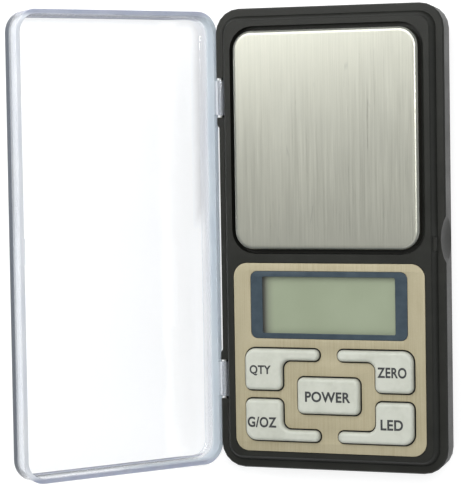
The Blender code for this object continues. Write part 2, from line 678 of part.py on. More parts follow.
def circuit_board():
    top_y = PANEL_TOP - BOARD_INSET
    end_y = -(HALF_LENGTH - SCREW_INSET_Y - BOSS_RADIUS - 0.0009)
    end_y = max(end_y, KEYS_Y - KEY_ROW_GAP / 2 - KEY_LENGTH)
    outline = rectangle(PANEL_HALF_WIDTH - BOARD_INSET, (top_y - end_y) / 2, 0.0030,
                        (0.0, (top_y + end_y) / 2), 3)
    board = prism("circuit_board", outline, BOARD_Z, BOARD_TOP,
                  material("board_green", (0.02, 0.14, 0.06), 0.4))
    for i, (x, y) in enumerate(board_screw_places()):
        cut(board, cutter_rod(f"board_hole_{i}", (x, y, BOARD_Z - OVERCUT),
                              (x, y, BOARD_TOP + OVERCUT), BOARD_SCREW_RADIUS + SLIP, 14))
        screw(f"board_screw_{i + 1}", x, y, BOARD_Z - SLIP, DECK_Z - 0.0004,
              BOARD_SCREW_HEAD_RADIUS, BOARD_SCREW_HEAD_HEIGHT, BOARD_SCREW_RADIUS)
    chip_x = BAY_HALF_WIDTH + COMPARTMENT_WALL + CHIP_MARGIN
    head_x = board_screw_places()[1][0] - BOARD_SCREW_HEAD_RADIUS
    chip_end = min(chip_x + CHIP_SIZE, head_x - FIT)
    chip_top = BOARD_Z - LAYER_GAP
    box("controller_chip", (chip_x, DISPLAY_Y - CHIP_SIZE / 2, chip_top - CHIP_THICKNESS),
        (chip_end, DISPLAY_Y + CHIP_SIZE / 2, chip_top),
        material("chip_black", (0.02, 0.02, 0.02), 0.5))


# ---------------------------------------------------------------- fasteners and feet
def screw(name, x, y, seat, tip, head_radius, head_height, shank_radius, upward=True):
    """Cross-head screw whose head seats at one height and whose shank runs to the tip."""
    away = -1 if upward else 1
    head_end = seat + away * head_height
    made = rod(name, (x, y, head_end), (x, y, seat), head_radius, steel(), PARTS, 16)
    join(made, cutter_rod(f"{name}_shank", (x, y, seat + away * head_height / 2), (x, y, tip),
                          shank_radius, 12))
    depth = head_height * 0.45
    for axis in (0, 1):
        reach = [head_radius * 0.6, head_radius * 0.17]
        if axis:
            reach.reverse()
        low = min(head_end + away * OVERCUT, head_end - away * depth)
        high = max(head_end + away * OVERCUT, head_end - away * depth)
        cut(made, cutter_box(f"{name}_slot_{axis}", (x - reach[0], y - reach[1], low),
                             (x + reach[0], y + reach[1], high)))
    return made


def case_screws():
    seat = FLOOR_Z + SCREW_HEAD_HEIGHT - SLIP
    tip = LEDGE_Z - LEDGE_THICKNESS - 0.0012
    for i, (x, y) in enumerate(screw_places()):
        screw(f"case_screw_{i + 1}", x, y, seat, tip, SCREW_HEAD_RADIUS, SCREW_HEAD_HEIGHT,
              SCREW_RADIUS)


def feet():
    rubber = material("foot_rubber", (0.03, 0.03, 0.03), 0.85)
    for i, (x, y) in enumerate(foot_places()):
        foot = rod(f"foot_{i + 1}", (x, y, 0.0), (x, y, FOOT_THICKNESS), FOOT_RADIUS, rubber,
                   PARTS, 24)
        edge = foot.modifiers.new("edge", 'BEVEL')
        edge.width = 0.0002
        edge.segments = 1
        edge.limit_method = 'ANGLE'


# ---------------------------------------------------------------- battery bay
def battery_cells():
    jacket = material("cell_jacket", (0.06, 0.16, 0.30), 0.35, 0.3)
    for i, (side, way) in enumerate(((-1, 1), (1, -1))):
        x = side * (CELL_RADIUS + SLIP / 2)
        middle = BAY_Y + way * SPRING_LENGTH / 2
        low = middle - way * CELL_LENGTH / 2
        shoulder = middle + way * (CELL_LENGTH / 2 - CELL_NUB)
        tip = middle + way * CELL_LENGTH / 2
        cell = rod(f"battery_cell_{i + 1}", (x, low, CELL_Z), (x, shoulder, CELL_Z), CELL_RADIUS,
                   jacket, PARTS, 28)
        join(cell, cutter_rod(f"cell_nub_{i}", (x, shoulder - way * 0.0005, CELL_Z),
                              (x, tip, CELL_Z), 0.0018, 16))
        contact_spring(f"battery_spring_{i + 1}", x, low, -way)


def contact_spring(name, x, start, way):
    """Conical coil between the flat end of a cell and its contact plate."""
    turns = 3
    per_turn = 8
    length = SPRING_LENGTH - 2 * SLIP - 2 * SPRING_WIRE
    curve = bpy.data.curves.new(name, 'CURVE')
    curve.dimensions = '3D'
    curve.bevel_depth = SPRING_WIRE
    curve.bevel_resolution = 1
    curve.use_fill_caps = True
    spline = curve.splines.new('POLY')
    count = turns * per_turn + 1
    spline.points.add(count - 1)
    for i in range(count):
        share = i / (count - 1)
        angle = 2 * math.pi * i / per_turn
        radius = CELL_RADIUS * (0.36 + 0.30 * share)
        y = start + way * (SLIP + SPRING_WIRE + length * share)
        spline.points[i].co = (x + radius * math.cos(angle), y,
                               CELL_Z + radius * math.sin(angle), 1.0)
    made = bpy.data.objects.new(name, curve)
    curve.materials.append(steel())
    PARTS.objects.link(made)


def battery_contacts():
    half_x = BAY_HALF_WIDTH - 0.0006
    low_z = BASE_Z + DOOR_THICKNESS + 0.0012
    for end, label in ((1, "upper"), (-1, "lower")):
        outside = BAY_Y + end * (BAY_HALF_LENGTH - SLIP / 2)
        inside = outside - end * CONTACT_THICKNESS
        box(f"battery_contact_{label}", (-half_x, min(inside, outside), low_z),
            (half_x, max(inside, outside), BOARD_Z - 0.0010), steel())


def battery_door():
    corner = 0.0010
    half_length = (DOOR_TOP_Y - DOOR_END_Y) / 2
    centre = (0.0, (DOOR_TOP_Y + DOOR_END_Y) / 2)
    top = BASE_Z + DOOR_THICKNESS
    door = prism("battery_door", rectangle(DOOR_HALF_WIDTH, half_length, corner, centre, 3),
                 BASE_Z, top, case_plastic())
    reach = DOOR_HALF_WIDTH + DOOR_TONGUE - SLIP
    join(door, cutter_box("door_tongues", (-reach, DOOR_END_Y + 0.006, TONGUE_Z),
                          (reach, DOOR_TOP_Y - 0.003, TONGUE_Z + DOOR_TONGUE_THICKNESS)))
    for i in range(GRIP_GROOVES):
        y = DOOR_END_Y + GRIP_START + GRIP_PITCH * i
        cut(door, cutter_box(f"grip_groove_{i}", (-GRIP_HALF_WIDTH, y, BASE_Z - OVERCUT),
                             (GRIP_HALF_WIDTH, y + GRIP_GROOVE_WIDTH, BASE_Z + GRIP_DEPTH)))


# ---------------------------------------------------------------- weighing mechanism
def load_end_offset():
    """Distance from the middle of the load cell to the middle of each screwed end."""
    return LOAD_CELL_LENGTH / 2 - LOAD_CELL_END / 2


def carrier_pad():
    return LOAD_CELL_WIDTH / 2, LOAD_CELL_END / 2


def stop_places():
    x = PLATFORM_WIDTH / 2 - STOP_INSET_X
    y = PLATFORM_LENGTH / 2 - STOP_INSET_Y
    return [(-x, WELL_Y + y), (x, WELL_Y + y), (-x, WELL_Y - y), (x, WELL_Y - y)]


def load_cell():
    alloy = material("load_cell_alloy", (0.72, 0.72, 0.70), 0.4, 1.0)
    half = LOAD_CELL_WIDTH / 2
    low_y = WELL_Y - LOAD_CELL_LENGTH / 2
    high_y = WELL_Y + LOAD_CELL_LENGTH / 2
    beam = box("load_cell", (-half, low_y, LOAD_CELL_Z), (half, high_y, LOAD_CELL_TOP), alloy)
    middle = (LOAD_CELL_Z + LOAD_CELL_TOP) / 2
    spread = LOAD_CELL_HOLE * 1.9
    for i, way in enumerate((-1, 1)):
        cut(beam, cutter_rod(f"flexure_{i}", (-half - OVERCUT, WELL_Y + way * spread, middle),
                             (half + OVERCUT, WELL_Y + way * spread, middle), LOAD_CELL_HOLE, 20))
    cut(beam, cutter_box("flexure_slot", (-half - 0.002, WELL_Y - spread, middle - 0.0008),
                         (half + 0.002, WELL_Y + spread, middle + 0.0008)))
    base_y = WELL_Y - load_end_offset()
    end_half = LOAD_CELL_END / 2
    spacer = box("load_cell_spacer", (-half, base_y - end_half, FLOOR_Z + SLIP),
                 (half, base_y + end_half, FLOOR_Z + SLIP + SPACER_HEIGHT), inner_plastic())
    head = LINK_SCREW_HEAD_HEIGHT
    spacing = LOAD_CELL_WIDTH / 4
    for i, x in enumerate((-spacing, spacing)):
        way = cutter_rod(f"fixed_way_{i}", (x, base_y, FLOOR_Z),
                         (x, base_y, LOAD_CELL_TOP + OVERCUT), LINK_SCREW_RADIUS + SLIP, 14)
        cut(beam, way, cutter_rod(f"fixed_head_{i}", (x, base_y, LOAD_CELL_TOP - head - SLIP),
                                  (x, base_y, LOAD_CELL_TOP + OVERCUT),
                                  LINK_SCREW_HEAD_RADIUS + SLIP, 16))
        cut(spacer, way)
        screw(f"load_cell_screw_{i + 1}", x, base_y, LOAD_CELL_TOP - head, FLOOR_Z + 0.0006,
              LINK_SCREW_HEAD_RADIUS, head, LINK_SCREW_RADIUS, upward=False)
        load_y = WELL_Y + load_end_offset()
        cut(beam, cutter_rod(f"moving_way_{i}", (x, load_y, LOAD_CELL_Z - OVERCUT),
                             (x, load_y, LOAD_CELL_TOP + OVERCUT), LINK_SCREW_RADIUS + SLIP, 14))


def platform_carrier():
    inside = PLATFORM_SHEET + 0.0009
    plate = rectangle(PLATFORM_WIDTH / 2 - inside, PLATFORM_LENGTH / 2 - inside,
                      PLATFORM_CORNER - inside, (0.0, WELL_Y), 4)
    carrier = prism("platform_carrier", plate, CARRIER_Z, CARRIER_TOP, inner_plastic())
    pad_x, pad_y = carrier_pad()
    load_y = WELL_Y + load_end_offset()
    pad_z = LOAD_CELL_TOP + PLATFORM_TRAVEL + SLIP
    pad = rectangle(pad_x, pad_y, 0.0010, (0.0, load_y), 3)
    join(carrier, cutter_prism("carrier_pad", pad, pad_z, CARRIER_Z + 0.0003))
    rib_low = CARRIER_Z - 0.0008
    join(carrier, cutter_box("carrier_rib", (-0.0010, WELL_Y - PLATFORM_LENGTH * 0.4, rib_low),
                             (0.0010, load_y, CARRIER_Z + 0.0002)))
    head = LINK_SCREW_HEAD_HEIGHT
    spacing = LOAD_CELL_WIDTH / 4
    for i, x in enumerate((-spacing, spacing)):
        cut(carrier,
            cutter_rod(f"carrier_way_{i}", (x, load_y, pad_z - OVERCUT), (x, load_y, CARRIER_TOP),
                       LINK_SCREW_RADIUS + SLIP, 14),
            cutter_rod(f"carrier_head_{i}", (x, load_y, CARRIER_TOP - head - 2 * SLIP),
                       (x, load_y, CARRIER_TOP + OVERCUT), LINK_SCREW_HEAD_RADIUS + SLIP, 16))
        screw(f"platform_screw_{i + 1}", x, load_y, CARRIER_TOP - head - SLIP,
              LOAD_CELL_Z + 0.0010, LINK_SCREW_HEAD_RADIUS, head, LINK_SCREW_RADIUS,
              upward=False)


def platform():
    def outline(inset):
        return rectangle(PLATFORM_WIDTH / 2 - inset, PLATFORM_LENGTH / 2 - inset,
                         PLATFORM_CORNER - inset, (0.0, WELL_Y), 6)
    low = PLATFORM_TOP - PLATFORM_SKIRT
    sheet = PLATFORM_SHEET
    tray = loft("platform", [(low, outline(0.0)), (PLATFORM_TOP - 0.0009, outline(0.0)),
                             (PLATFORM_TOP - 0.0004, outline(0.00015)),
                             (PLATFORM_TOP - 0.0001, outline(0.0005)),
                             (PLATFORM_TOP, outline(0.0010))],
                material("brushed_steel", (0.66, 0.65, 0.62), 0.32, 1.0))
    cut(tray, loft("tray_hollow", [(low - OVERCUT, outline(sheet)),
                                   (PLATFORM_TOP - sheet - 0.0004, outline(sheet)),
                                   (PLATFORM_TOP - sheet, outline(sheet + 0.0005))],
                   None, CUTTERS))


def load_cell_wires():
    """Lead from the fixed end of the load cell up to the edge of the circuit board."""
    start = Vector((LOAD_CELL_WIDTH / 2 + FIT, WELL_Y - load_end_offset(),
                    (LOAD_CELL_Z + LOAD_CELL_TOP) / 2))
    below = WELL_UNDERSIDE - WIRE_RADIUS - FIT
    keypad_y = WELL_TOP - WELL_LENGTH - COMPARTMENT_WALL
    x_run = BAY_HALF_WIDTH + COMPARTMENT_WALL + 0.0020
    guides = [start, start + Vector((0.0025, 0.0, 0.0)),
              Vector((x_run, keypad_y + 0.0060, below - 0.0030)),
              Vector((x_run, keypad_y + 0.0020, below - 0.0012)),
              Vector((x_run, PANEL_TOP - 0.0015, BOARD_Z - WIRE_RADIUS - 0.0012)),
              Vector((x_run, PANEL_TOP - 0.0040, BOARD_Z - WIRE_RADIUS - SLIP))]
    curve = bpy.data.curves.new("load_cell_wires", 'CURVE')
    curve.dimensions = '3D'
    curve.bevel_depth = WIRE_RADIUS
    curve.bevel_resolution = 2
    curve.use_fill_caps = True
    spline = curve.splines.new('POLY')
    points = smooth_path(guides, 3)
    spline.points.add(len(points) - 1)
    for slot, point in zip(spline.points, points):
        slot.co = (*point, 1.0)
    curve.materials.append(material("wire_sleeve", (0.35, 0.02, 0.02), 0.5))
    made = bpy.data.objects.new("load_cell_wires", curve)
    PARTS.objects.link(made)


def smooth_path(guides, steps):
    """Catmull-Rom points through the guide points."""
    padded = [2 * guides[0] - guides[1], *guides, 2 * guides[-1] - guides[-2]]
    points = []
    for a, b, c, d in zip(padded, padded[1:], padded[2:], padded[3:]):
        for step in range(steps):
            t = step / steps
            points.append(0.5 * (2 * b + (c - a) * t + (2 * a - 5 * b + 4 * c - d) * t ** 2
                                 + (3 * b - 3 * c + d - a) * t ** 3))
    points.append(guides[-1])
    return points


# ---------------------------------------------------------------- cover and hinge
def hang_on(parent, made):
    """Parent a piece modelled in the closed position to the empty on the hinge axis."""
    made.parent = parent
    made.matrix_parent_inverse = Matrix.Translation(-HINGE_AXIS)


def cover_outline(inset):
    return case_outline(COVER_INSET + inset)


def cover():
    pivot = bpy.data.objects.new("cover_hinge", None)
    PARTS.objects.link(pivot)
    pivot.location = HINGE_AXIS
    pivot.rotation_euler = (0.0, -COVER_OPEN_ANGLE, 0.0)
    edge = [(1.0, 0.0), (0.55, 0.12), (0.18, 0.46), (0.0, 1.0)]
    sections = [(COVER_TOP - COVER_EDGE * drop, cover_outline(COVER_DRAFT + COVER_EDGE * inset))
                for drop, inset in edge]
    shell = loft("cover", [(COVER_RIM_Z, cover_outline(0.0)), *sections],
                 material("clear_plastic", (0.86, 0.90, 0.95), 0.05))
    ceiling = COVER_TOP - COVER_PLATE
    inner = COVER_WALL + COVER_DRAFT
    hollow = loft("cover_hollow", [(COVER_RIM_Z - OVERCUT, cover_outline(COVER_WALL)),
                                   (ceiling - 0.0008, cover_outline(inner)),
                                   (ceiling - 0.0002, cover_outline(inner + 0.0003)),
                                   (ceiling, cover_outline(inner + 0.0009))], None, CUTTERS)
    cut(shell, hollow)
    moving = [shell, hollow]
    outer_x = -HALF_WIDTH + COVER_INSET
    for end, label in ((1, "upper"), (-1, "lower")):
        low_y, high_y = hinge_pocket(end)
        low_y, high_y = low_y + FIT, high_y - FIT
        barrel = cutter_rod(f"barrel_{label}", (HINGE_AXIS.x, low_y, HINGE_AXIS.z),
                            (HINGE_AXIS.x, high_y, HINGE_AXIS.z), BARREL_RADIUS, 20)
        tab = cutter_box(f"hinge_tab_{label}", (outer_x + 0.00005, low_y + 0.0001, HINGE_AXIS.z),
                         (outer_x + COVER_WALL - 0.00005, high_y - 0.0001, COVER_RIM_Z + 0.0010))
        bore = cutter_rod(f"bore_{label}", (HINGE_AXIS.x, low_y - OVERCUT, HINGE_AXIS.z),
                          (HINGE_AXIS.x, high_y + OVERCUT, HINGE_AXIS.z), PIN_RADIUS + SLIP, 12)
        join(shell, barrel, tab)
        cut(shell, bore)
        moving += [barrel, tab, bore]
        rod(f"hinge_pin_{label}", (HINGE_AXIS.x, low_y - FIT - PIN_GRIP, HINGE_AXIS.z),
            (HINGE_AXIS.x, high_y + FIT + PIN_GRIP, HINGE_AXIS.z), PIN_RADIUS, steel(), PARTS, 12)
    hook = cutter_box("catch_hook",
                      (COVER_INNER_X - HOOK_REACH, CATCH_OFFSET - HOOK_WIDTH / 2,
                       COVER_RIM_Z + 0.0001),
                      (COVER_INNER_X + 0.0006, CATCH_OFFSET + HOOK_WIDTH / 2,
                       COVER_RIM_Z + 0.0001 + HOOK_HEIGHT))
    join(shell, hook)
    for piece in [*moving, hook]:
        hang_on(pivot, piece)


# ---------------------------------------------------------------- assembly
def build():
    scallop = finger_scallop()
    bottom_case(scallop)
    top_case(scallop)
    case_screws()
    feet()
    battery_cells()
    battery_contacts()
    battery_door()
    circuit_board()
    display()
    key_mat()
    keypad_panel()
    keys()
    load_cell()
    load_cell_wires()
    platform_carrier()
    platform()
    cover()


build()
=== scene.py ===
"""Looks of a pocket gram scale with a clear hinged cover, in metres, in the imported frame."""
import json
import math

import bmesh
import bpy
from mathutils import Matrix, Vector


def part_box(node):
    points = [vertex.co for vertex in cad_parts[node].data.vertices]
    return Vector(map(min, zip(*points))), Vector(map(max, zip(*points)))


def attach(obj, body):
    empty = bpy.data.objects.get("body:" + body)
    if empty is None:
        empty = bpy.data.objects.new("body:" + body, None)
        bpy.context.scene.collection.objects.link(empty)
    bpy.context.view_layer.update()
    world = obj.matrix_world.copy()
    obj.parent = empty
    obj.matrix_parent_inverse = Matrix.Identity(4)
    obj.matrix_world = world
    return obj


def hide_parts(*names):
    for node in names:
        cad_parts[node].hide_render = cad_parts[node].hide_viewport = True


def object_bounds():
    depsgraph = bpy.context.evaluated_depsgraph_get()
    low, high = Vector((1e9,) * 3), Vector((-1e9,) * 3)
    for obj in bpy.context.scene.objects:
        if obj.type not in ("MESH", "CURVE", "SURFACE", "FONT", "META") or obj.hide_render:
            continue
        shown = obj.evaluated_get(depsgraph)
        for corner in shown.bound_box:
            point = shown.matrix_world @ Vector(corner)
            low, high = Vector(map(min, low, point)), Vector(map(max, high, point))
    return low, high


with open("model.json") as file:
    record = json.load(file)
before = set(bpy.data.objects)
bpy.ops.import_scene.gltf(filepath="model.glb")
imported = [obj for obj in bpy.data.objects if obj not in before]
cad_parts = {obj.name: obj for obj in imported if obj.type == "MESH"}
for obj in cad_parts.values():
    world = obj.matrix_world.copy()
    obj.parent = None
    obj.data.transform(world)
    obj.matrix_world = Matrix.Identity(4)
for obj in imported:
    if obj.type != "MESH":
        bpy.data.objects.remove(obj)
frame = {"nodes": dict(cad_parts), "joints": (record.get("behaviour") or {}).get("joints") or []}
cad_low, cad_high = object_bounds()
NODES = frame["nodes"]
JOINTS = {joint["name"]: joint for joint in frame["joints"]}

# ---------------------------------------------------------------- sizes, in metres
MM = 0.001
CASE_CORNER = 6.5 * MM
KEY_FLANGE = 0.6 * MM
KEY_FLANGE_THICKNESS = 0.5 * MM
KEY_ARM = 2.95 * MM
KEY_BLOCK_WIDTH = 10.2 * MM
KEY_OUTER_CORNER = 2.8 * MM
KEY_CORNER = 1.6 * MM
KEY_INNER_CORNER = 2.2 * MM
KEY_FILLET = 0.95 * MM
PLATFORM_CORNER = 5.0 * MM
PLATFORM_SHEET = 0.6 * MM
PLATFORM_FILLET = 1.0 * MM
PANEL_CORNER = 3.6 * MM
DISPLAY_CORNER = 1.8 * MM
DISPLAY_BORDER_X = 3.2 * MM
DISPLAY_BORDER_Y = 1.40 * MM
DISPLAY_TRIM = 0.15 * MM        # lower edge goes down by this, upper edge goes up by twice this
DISPLAY_WINDOW_CORNER = 0.4 * MM
WINDOW_GAP = 0.08 * MM
PANEL_EDGE = 0.09 * MM
DISPLAY_EDGE = 0.06 * MM
FILM_SHARE = 0.45               # of the thickness of the glass
KEY_HOLE_GAP = 0.35 * MM
COVER_INSET = 0.55 * MM
COVER_WALL = 1.3 * MM
COVER_PLATE = 1.6 * MM
COVER_DRAFT = 0.3 * MM
COVER_EDGE = 1.4 * MM
COVER_HEIGHT = 6.8 * MM
COVER_ABOVE_AXIS = 1.7 * MM
COVER_FILLET = 0.9 * MM
COVER_RIM_EDGE = 0.18 * MM
COVER_SUPPORT = 0.12 * MM       # ring beside each flat face, which keeps its shading flat
BARREL_RADIUS = 0.85 * MM
BORE_RADIUS = 0.5 * MM
BARREL_SETBACK = 2.6 * MM       # from each end of the pin
HOOK_Y = (-4.35 * MM, 2.35 * MM)
HOOK_REACH = 0.2 * MM
HOOK_ROOT = 0.6 * MM
HOOK_Z = (0.1 * MM, 1.1 * MM)   # above the rim of the shut cover
LEGEND_HEIGHT = 2.75 * MM
LEGEND_THICKNESS = 0.02 * MM
LEGEND_WEIGHT = 0.115 * MM
LEGEND_CAPITAL = 0.72           # height of a capital, as a share of the font size
FLOOR_HALF = 1.5
FLOOR_DROP = 0.2 * MM
CAMERA_LENS = 166.2
CAMERA_DISTANCE = 0.6045
CAMERA_TARGET = (-0.02670, -0.00289, 0.014)
CAMERA_TURNS = (('Y', 21.50), ('X', -3.10), ('Z', -0.92))


# ---------------------------------------------------------------- outlines and solids
def arc(centre, radius, start, sweep, segments):
    angles = [start + sweep * step / segments for step in range(segments + 1)]
    return [(centre[0] + radius * math.cos(a), centre[1] + radius * math.sin(a)) for a in angles]


def rectangle(half_x, half_y, radius, centre=(0.0, 0.0), segments=12):
    points = []
    for quarter, (sx, sy) in enumerate(((1, 1), (-1, 1), (-1, -1), (1, -1))):
        corner = (centre[0] + sx * (half_x - radius), centre[1] + sy * (half_y - radius))
        points += arc(corner, radius, quarter * math.pi / 2, math.pi / 2, segments)
    return points


def middle_and_half(low, high):
    return (((low.x + high.x) / 2, (low.y + high.y) / 2),
            (high.x - low.x) / 2, (high.y - low.y) / 2)


def linked(name, data):
    made = bpy.data.objects.new(name, data)
    bpy.context.scene.collection.objects.link(made)
    return made


def linked_mesh(name, bm):
    mesh = bpy.data.meshes.new(name)
    bm.to_mesh(mesh)
    bm.free()
    return linked(name, mesh)


def curve_to_mesh(name, curve):
    temporary = linked(name, curve)
    bpy.context.view_layer.update()
    mesh = bpy.data.meshes.new_from_object(temporary)
    bpy.data.objects.remove(temporary)
    return mesh


def new_object(name, mesh_data, body):
    made = linked(name, mesh_data)
    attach(made, body)
    return made


def closed_loft(name, rings, sharp=30.0):
    """Mesh through rings of (z, outline), closed with a cap at each end."""
    bm = bmesh.new()
    loops = [[bm.verts.new((x, y, z)) for x, y in points] for z, points in rings]
    for lower, upper in zip(loops, loops[1:]):
        for i in range(len(lower)):
            j = (i + 1) % len(lower)
            bm.faces.new((lower[i], lower[j], upper[j], upper[i]))
    bm.faces.new(reversed(loops[0]))
    bm.faces.new(loops[-1])
    bmesh.ops.recalc_face_normals(bm, faces=bm.faces[:])
    mesh = bpy.data.meshes.new(name)
    bm.to_mesh(mesh)
    bm.free()
    mesh.shade_smooth()
    mesh.set_sharp_from_angle(angle=math.radians(sharp))
    return mesh


def quarter_round(steps):
    """(share of the drop from the top, share of the inset) from the side up to the top."""
    for step in range(steps + 1):
        angle = step * math.pi / 2 / steps
        yield 1 - math.sin(angle), 1 - math.cos(angle)


def flat_sheet(name, outer, holes, low, high, edge):
    """Flat plate with openings and softly broken edges, as a filled 2D curve made a mesh."""
    curve = bpy.data.curves.new(name, 'CURVE')
    curve.dimensions = '2D'
    curve.fill_mode = 'BOTH'
    curve.extrude = (high - low) / 2 - edge
    curve.bevel_depth = edge
    curve.bevel_resolution = 2
    curve.offset = -edge
    for points in [outer, *holes]:
        spline = curve.splines.new('POLY')
        spline.points.add(len(points) - 1)
        for slot, (x, y) in zip(spline.points, points):
            slot.co = (x, y, 0.0, 1.0)
        spline.use_cyclic_u = True
    mesh = curve_to_mesh(name, curve)
    bm = bmesh.new()
    bm.from_mesh(mesh)
    bmesh.ops.remove_doubles(bm, verts=bm.verts[:], dist=1e-6)
    bmesh.ops.translate(bm, vec=(0.0, 0.0, (low + high) / 2), verts=bm.verts[:])
    bmesh.ops.recalc_face_normals(bm, faces=bm.faces[:])
    bm.to_mesh(mesh)
    bm.free()
    mesh.shade_smooth()
    mesh.set_sharp_from_angle(angle=math.radians(35))
    return mesh


# ---------------------------------------------------------------- material building
class Nodes:
    """Small helper that adds nodes to one material and joins them."""

    def __init__(self, name):
        self.material = bpy.data.materials.new(name)
        self.material.use_nodes = True
        self.tree = self.material.node_tree
        self.shader = self.tree.nodes["Principled BSDF"]
        self.place = self.add("ShaderNodeTexCoord").outputs["Object"]

    def add(self, kind, **settings):
        node = self.tree.nodes.new(kind)
        for key, value in settings.items():
            setattr(node, key, value)
        return node

    def link(self, source, target):
        self.tree.links.new(source, target)

    def scaled(self, scale, turn=(0.0, 0.0, 0.0)):
        node = self.add("ShaderNodeMapping")
        self.link(self.place, node.inputs["Vector"])
        node.inputs["Scale"].default_value = scale
        node.inputs["Rotation"].default_value = turn
        return node.outputs["Vector"]

    def axes(self, vector=None):
        node = self.add("ShaderNodeSeparateXYZ")
        self.link(self.place if vector is None else vector, node.inputs["Vector"])
        return node.outputs

    def noise(self, scale, detail=2.0, roughness=0.5, vector=None):
        node = self.add("ShaderNodeTexNoise")
        self.link(self.place if vector is None else vector, node.inputs["Vector"])
        node.inputs["Scale"].default_value = scale
        node.inputs["Detail"].default_value = detail
        node.inputs["Roughness"].default_value = roughness
        return node.outputs["Fac"]

    def ramp(self, source, stops):
        node = self.add("ShaderNodeValToRGB")
        self.link(source, node.inputs["Fac"])
        while len(node.color_ramp.elements) < len(stops):
            node.color_ramp.elements.new(0.5)
        for element, (place, colour) in zip(node.color_ramp.elements, stops):
            element.position = place
            element.color = (*colour, 1.0)
        return node.outputs["Color"]

    def spread(self, source, low, high, from_low=0.3, from_high=0.7):
        node = self.add("ShaderNodeMapRange")
        self.link(source, node.inputs["Value"])
        node.inputs["From Min"].default_value = from_low
        node.inputs["From Max"].default_value = from_high
        node.inputs["To Min"].default_value = low
        node.inputs["To Max"].default_value = high
        return node.outputs["Result"]

    def mix(self, factor, first, second, blend='MIX'):
        node = self.add("ShaderNodeMix", data_type='RGBA', blend_type=blend)
        if isinstance(factor, float):
            node.inputs[0].default_value = factor
        else:
            self.link(factor, node.inputs[0])
        for socket, value in ((node.inputs[6], first), (node.inputs[7], second)):
            if isinstance(value, tuple):
                socket.default_value = (*value, 1.0)
            else:
                self.link(value, socket)
        return node.outputs[2]

    def sum_of(self, first, second, share):
        """first + share * second."""
        node = self.add("ShaderNodeMath", operation='MULTIPLY_ADD')
        self.link(second, node.inputs[0])
        node.inputs[1].default_value = share
        self.link(first, node.inputs[2])
        return node.outputs[0]

    def power(self, source, exponent):
        node = self.add("ShaderNodeMath", operation='POWER')
        self.link(source, node.inputs[0])
        node.inputs[1].default_value = exponent
        return node.outputs[0]

    def most(self, first, second):
        node = self.add("ShaderNodeMath", operation='MAXIMUM')
        for socket, value in zip(node.inputs, (first, second)):
            if isinstance(value, float):
                socket.default_value = value
            else:
                self.link(value, socket)
        return node.outputs[0]

    def lesser(self, first, second):
        node = self.add("ShaderNodeMath", operation='MINIMUM')
        self.link(first, node.inputs[0])
        self.link(second, node.inputs[1])
        return node.outputs[0]

    def past(self, source, start):
        """How far a coordinate lies outside start on either side of zero."""
        size = self.add("ShaderNodeMath", operation='ABSOLUTE')
        self.link(source, size.inputs[0])
        over = self.add("ShaderNodeMath", operation='SUBTRACT')
        self.link(size.outputs[0], over.inputs[0])
        over.inputs[1].default_value = start
        return self.most(over.outputs[0], 0.0)

    def bump(self, height, distance, strength=1.0):
        node = self.add("ShaderNodeBump")
        self.link(height, node.inputs["Height"])
        node.inputs["Distance"].default_value = distance
        node.inputs["Strength"].default_value = strength
        self.link(node.outputs["Normal"], self.shader.inputs["Normal"])

    def set(self, **values):
        names = {"colour": "Base Color", "roughness": "Roughness", "metallic": "Metallic",
                 "ior": "IOR", "specular": "Specular IOR Level", "coat": "Coat Weight",
                 "coat_roughness": "Coat Roughness", "transmission": "Transmission Weight",
                 "subsurface": "Subsurface Weight", "subsurface_scale": "Subsurface Scale",
                 "subsurface_radius": "Subsurface Radius",
                 "glow": "Emission Color", "glow_strength": "Emission Strength"}
        for key, value in values.items():
            socket = self.shader.inputs[names[key]]
            if isinstance(value, bpy.types.NodeSocket):
                self.link(value, socket)
            elif key in ("colour", "glow"):
                socket.default_value = (*value, 1.0)
            else:
                socket.default_value = value


def grained(name, dark, light, roughness, grain, depth, specular=0.5, metallic=0.0, coat=0.0):
    """Moulded or cast surface: soft colour variation, fine grain and uneven gloss."""
    n = Nodes(name)
    patches = n.noise(90.0, 3.0)
    fine = n.noise(grain, 2.0, 0.6)
    n.set(colour=n.ramp(patches, [(0.35, dark), (0.65, light)]),
          roughness=n.spread(n.sum_of(patches, fine, 0.5), roughness - 0.05, roughness + 0.05,
                             0.5, 1.0),
          specular=specular, metallic=metallic, coat=coat, coat_roughness=0.08)
    n.bump(fine, depth, 0.6)
    return n.material


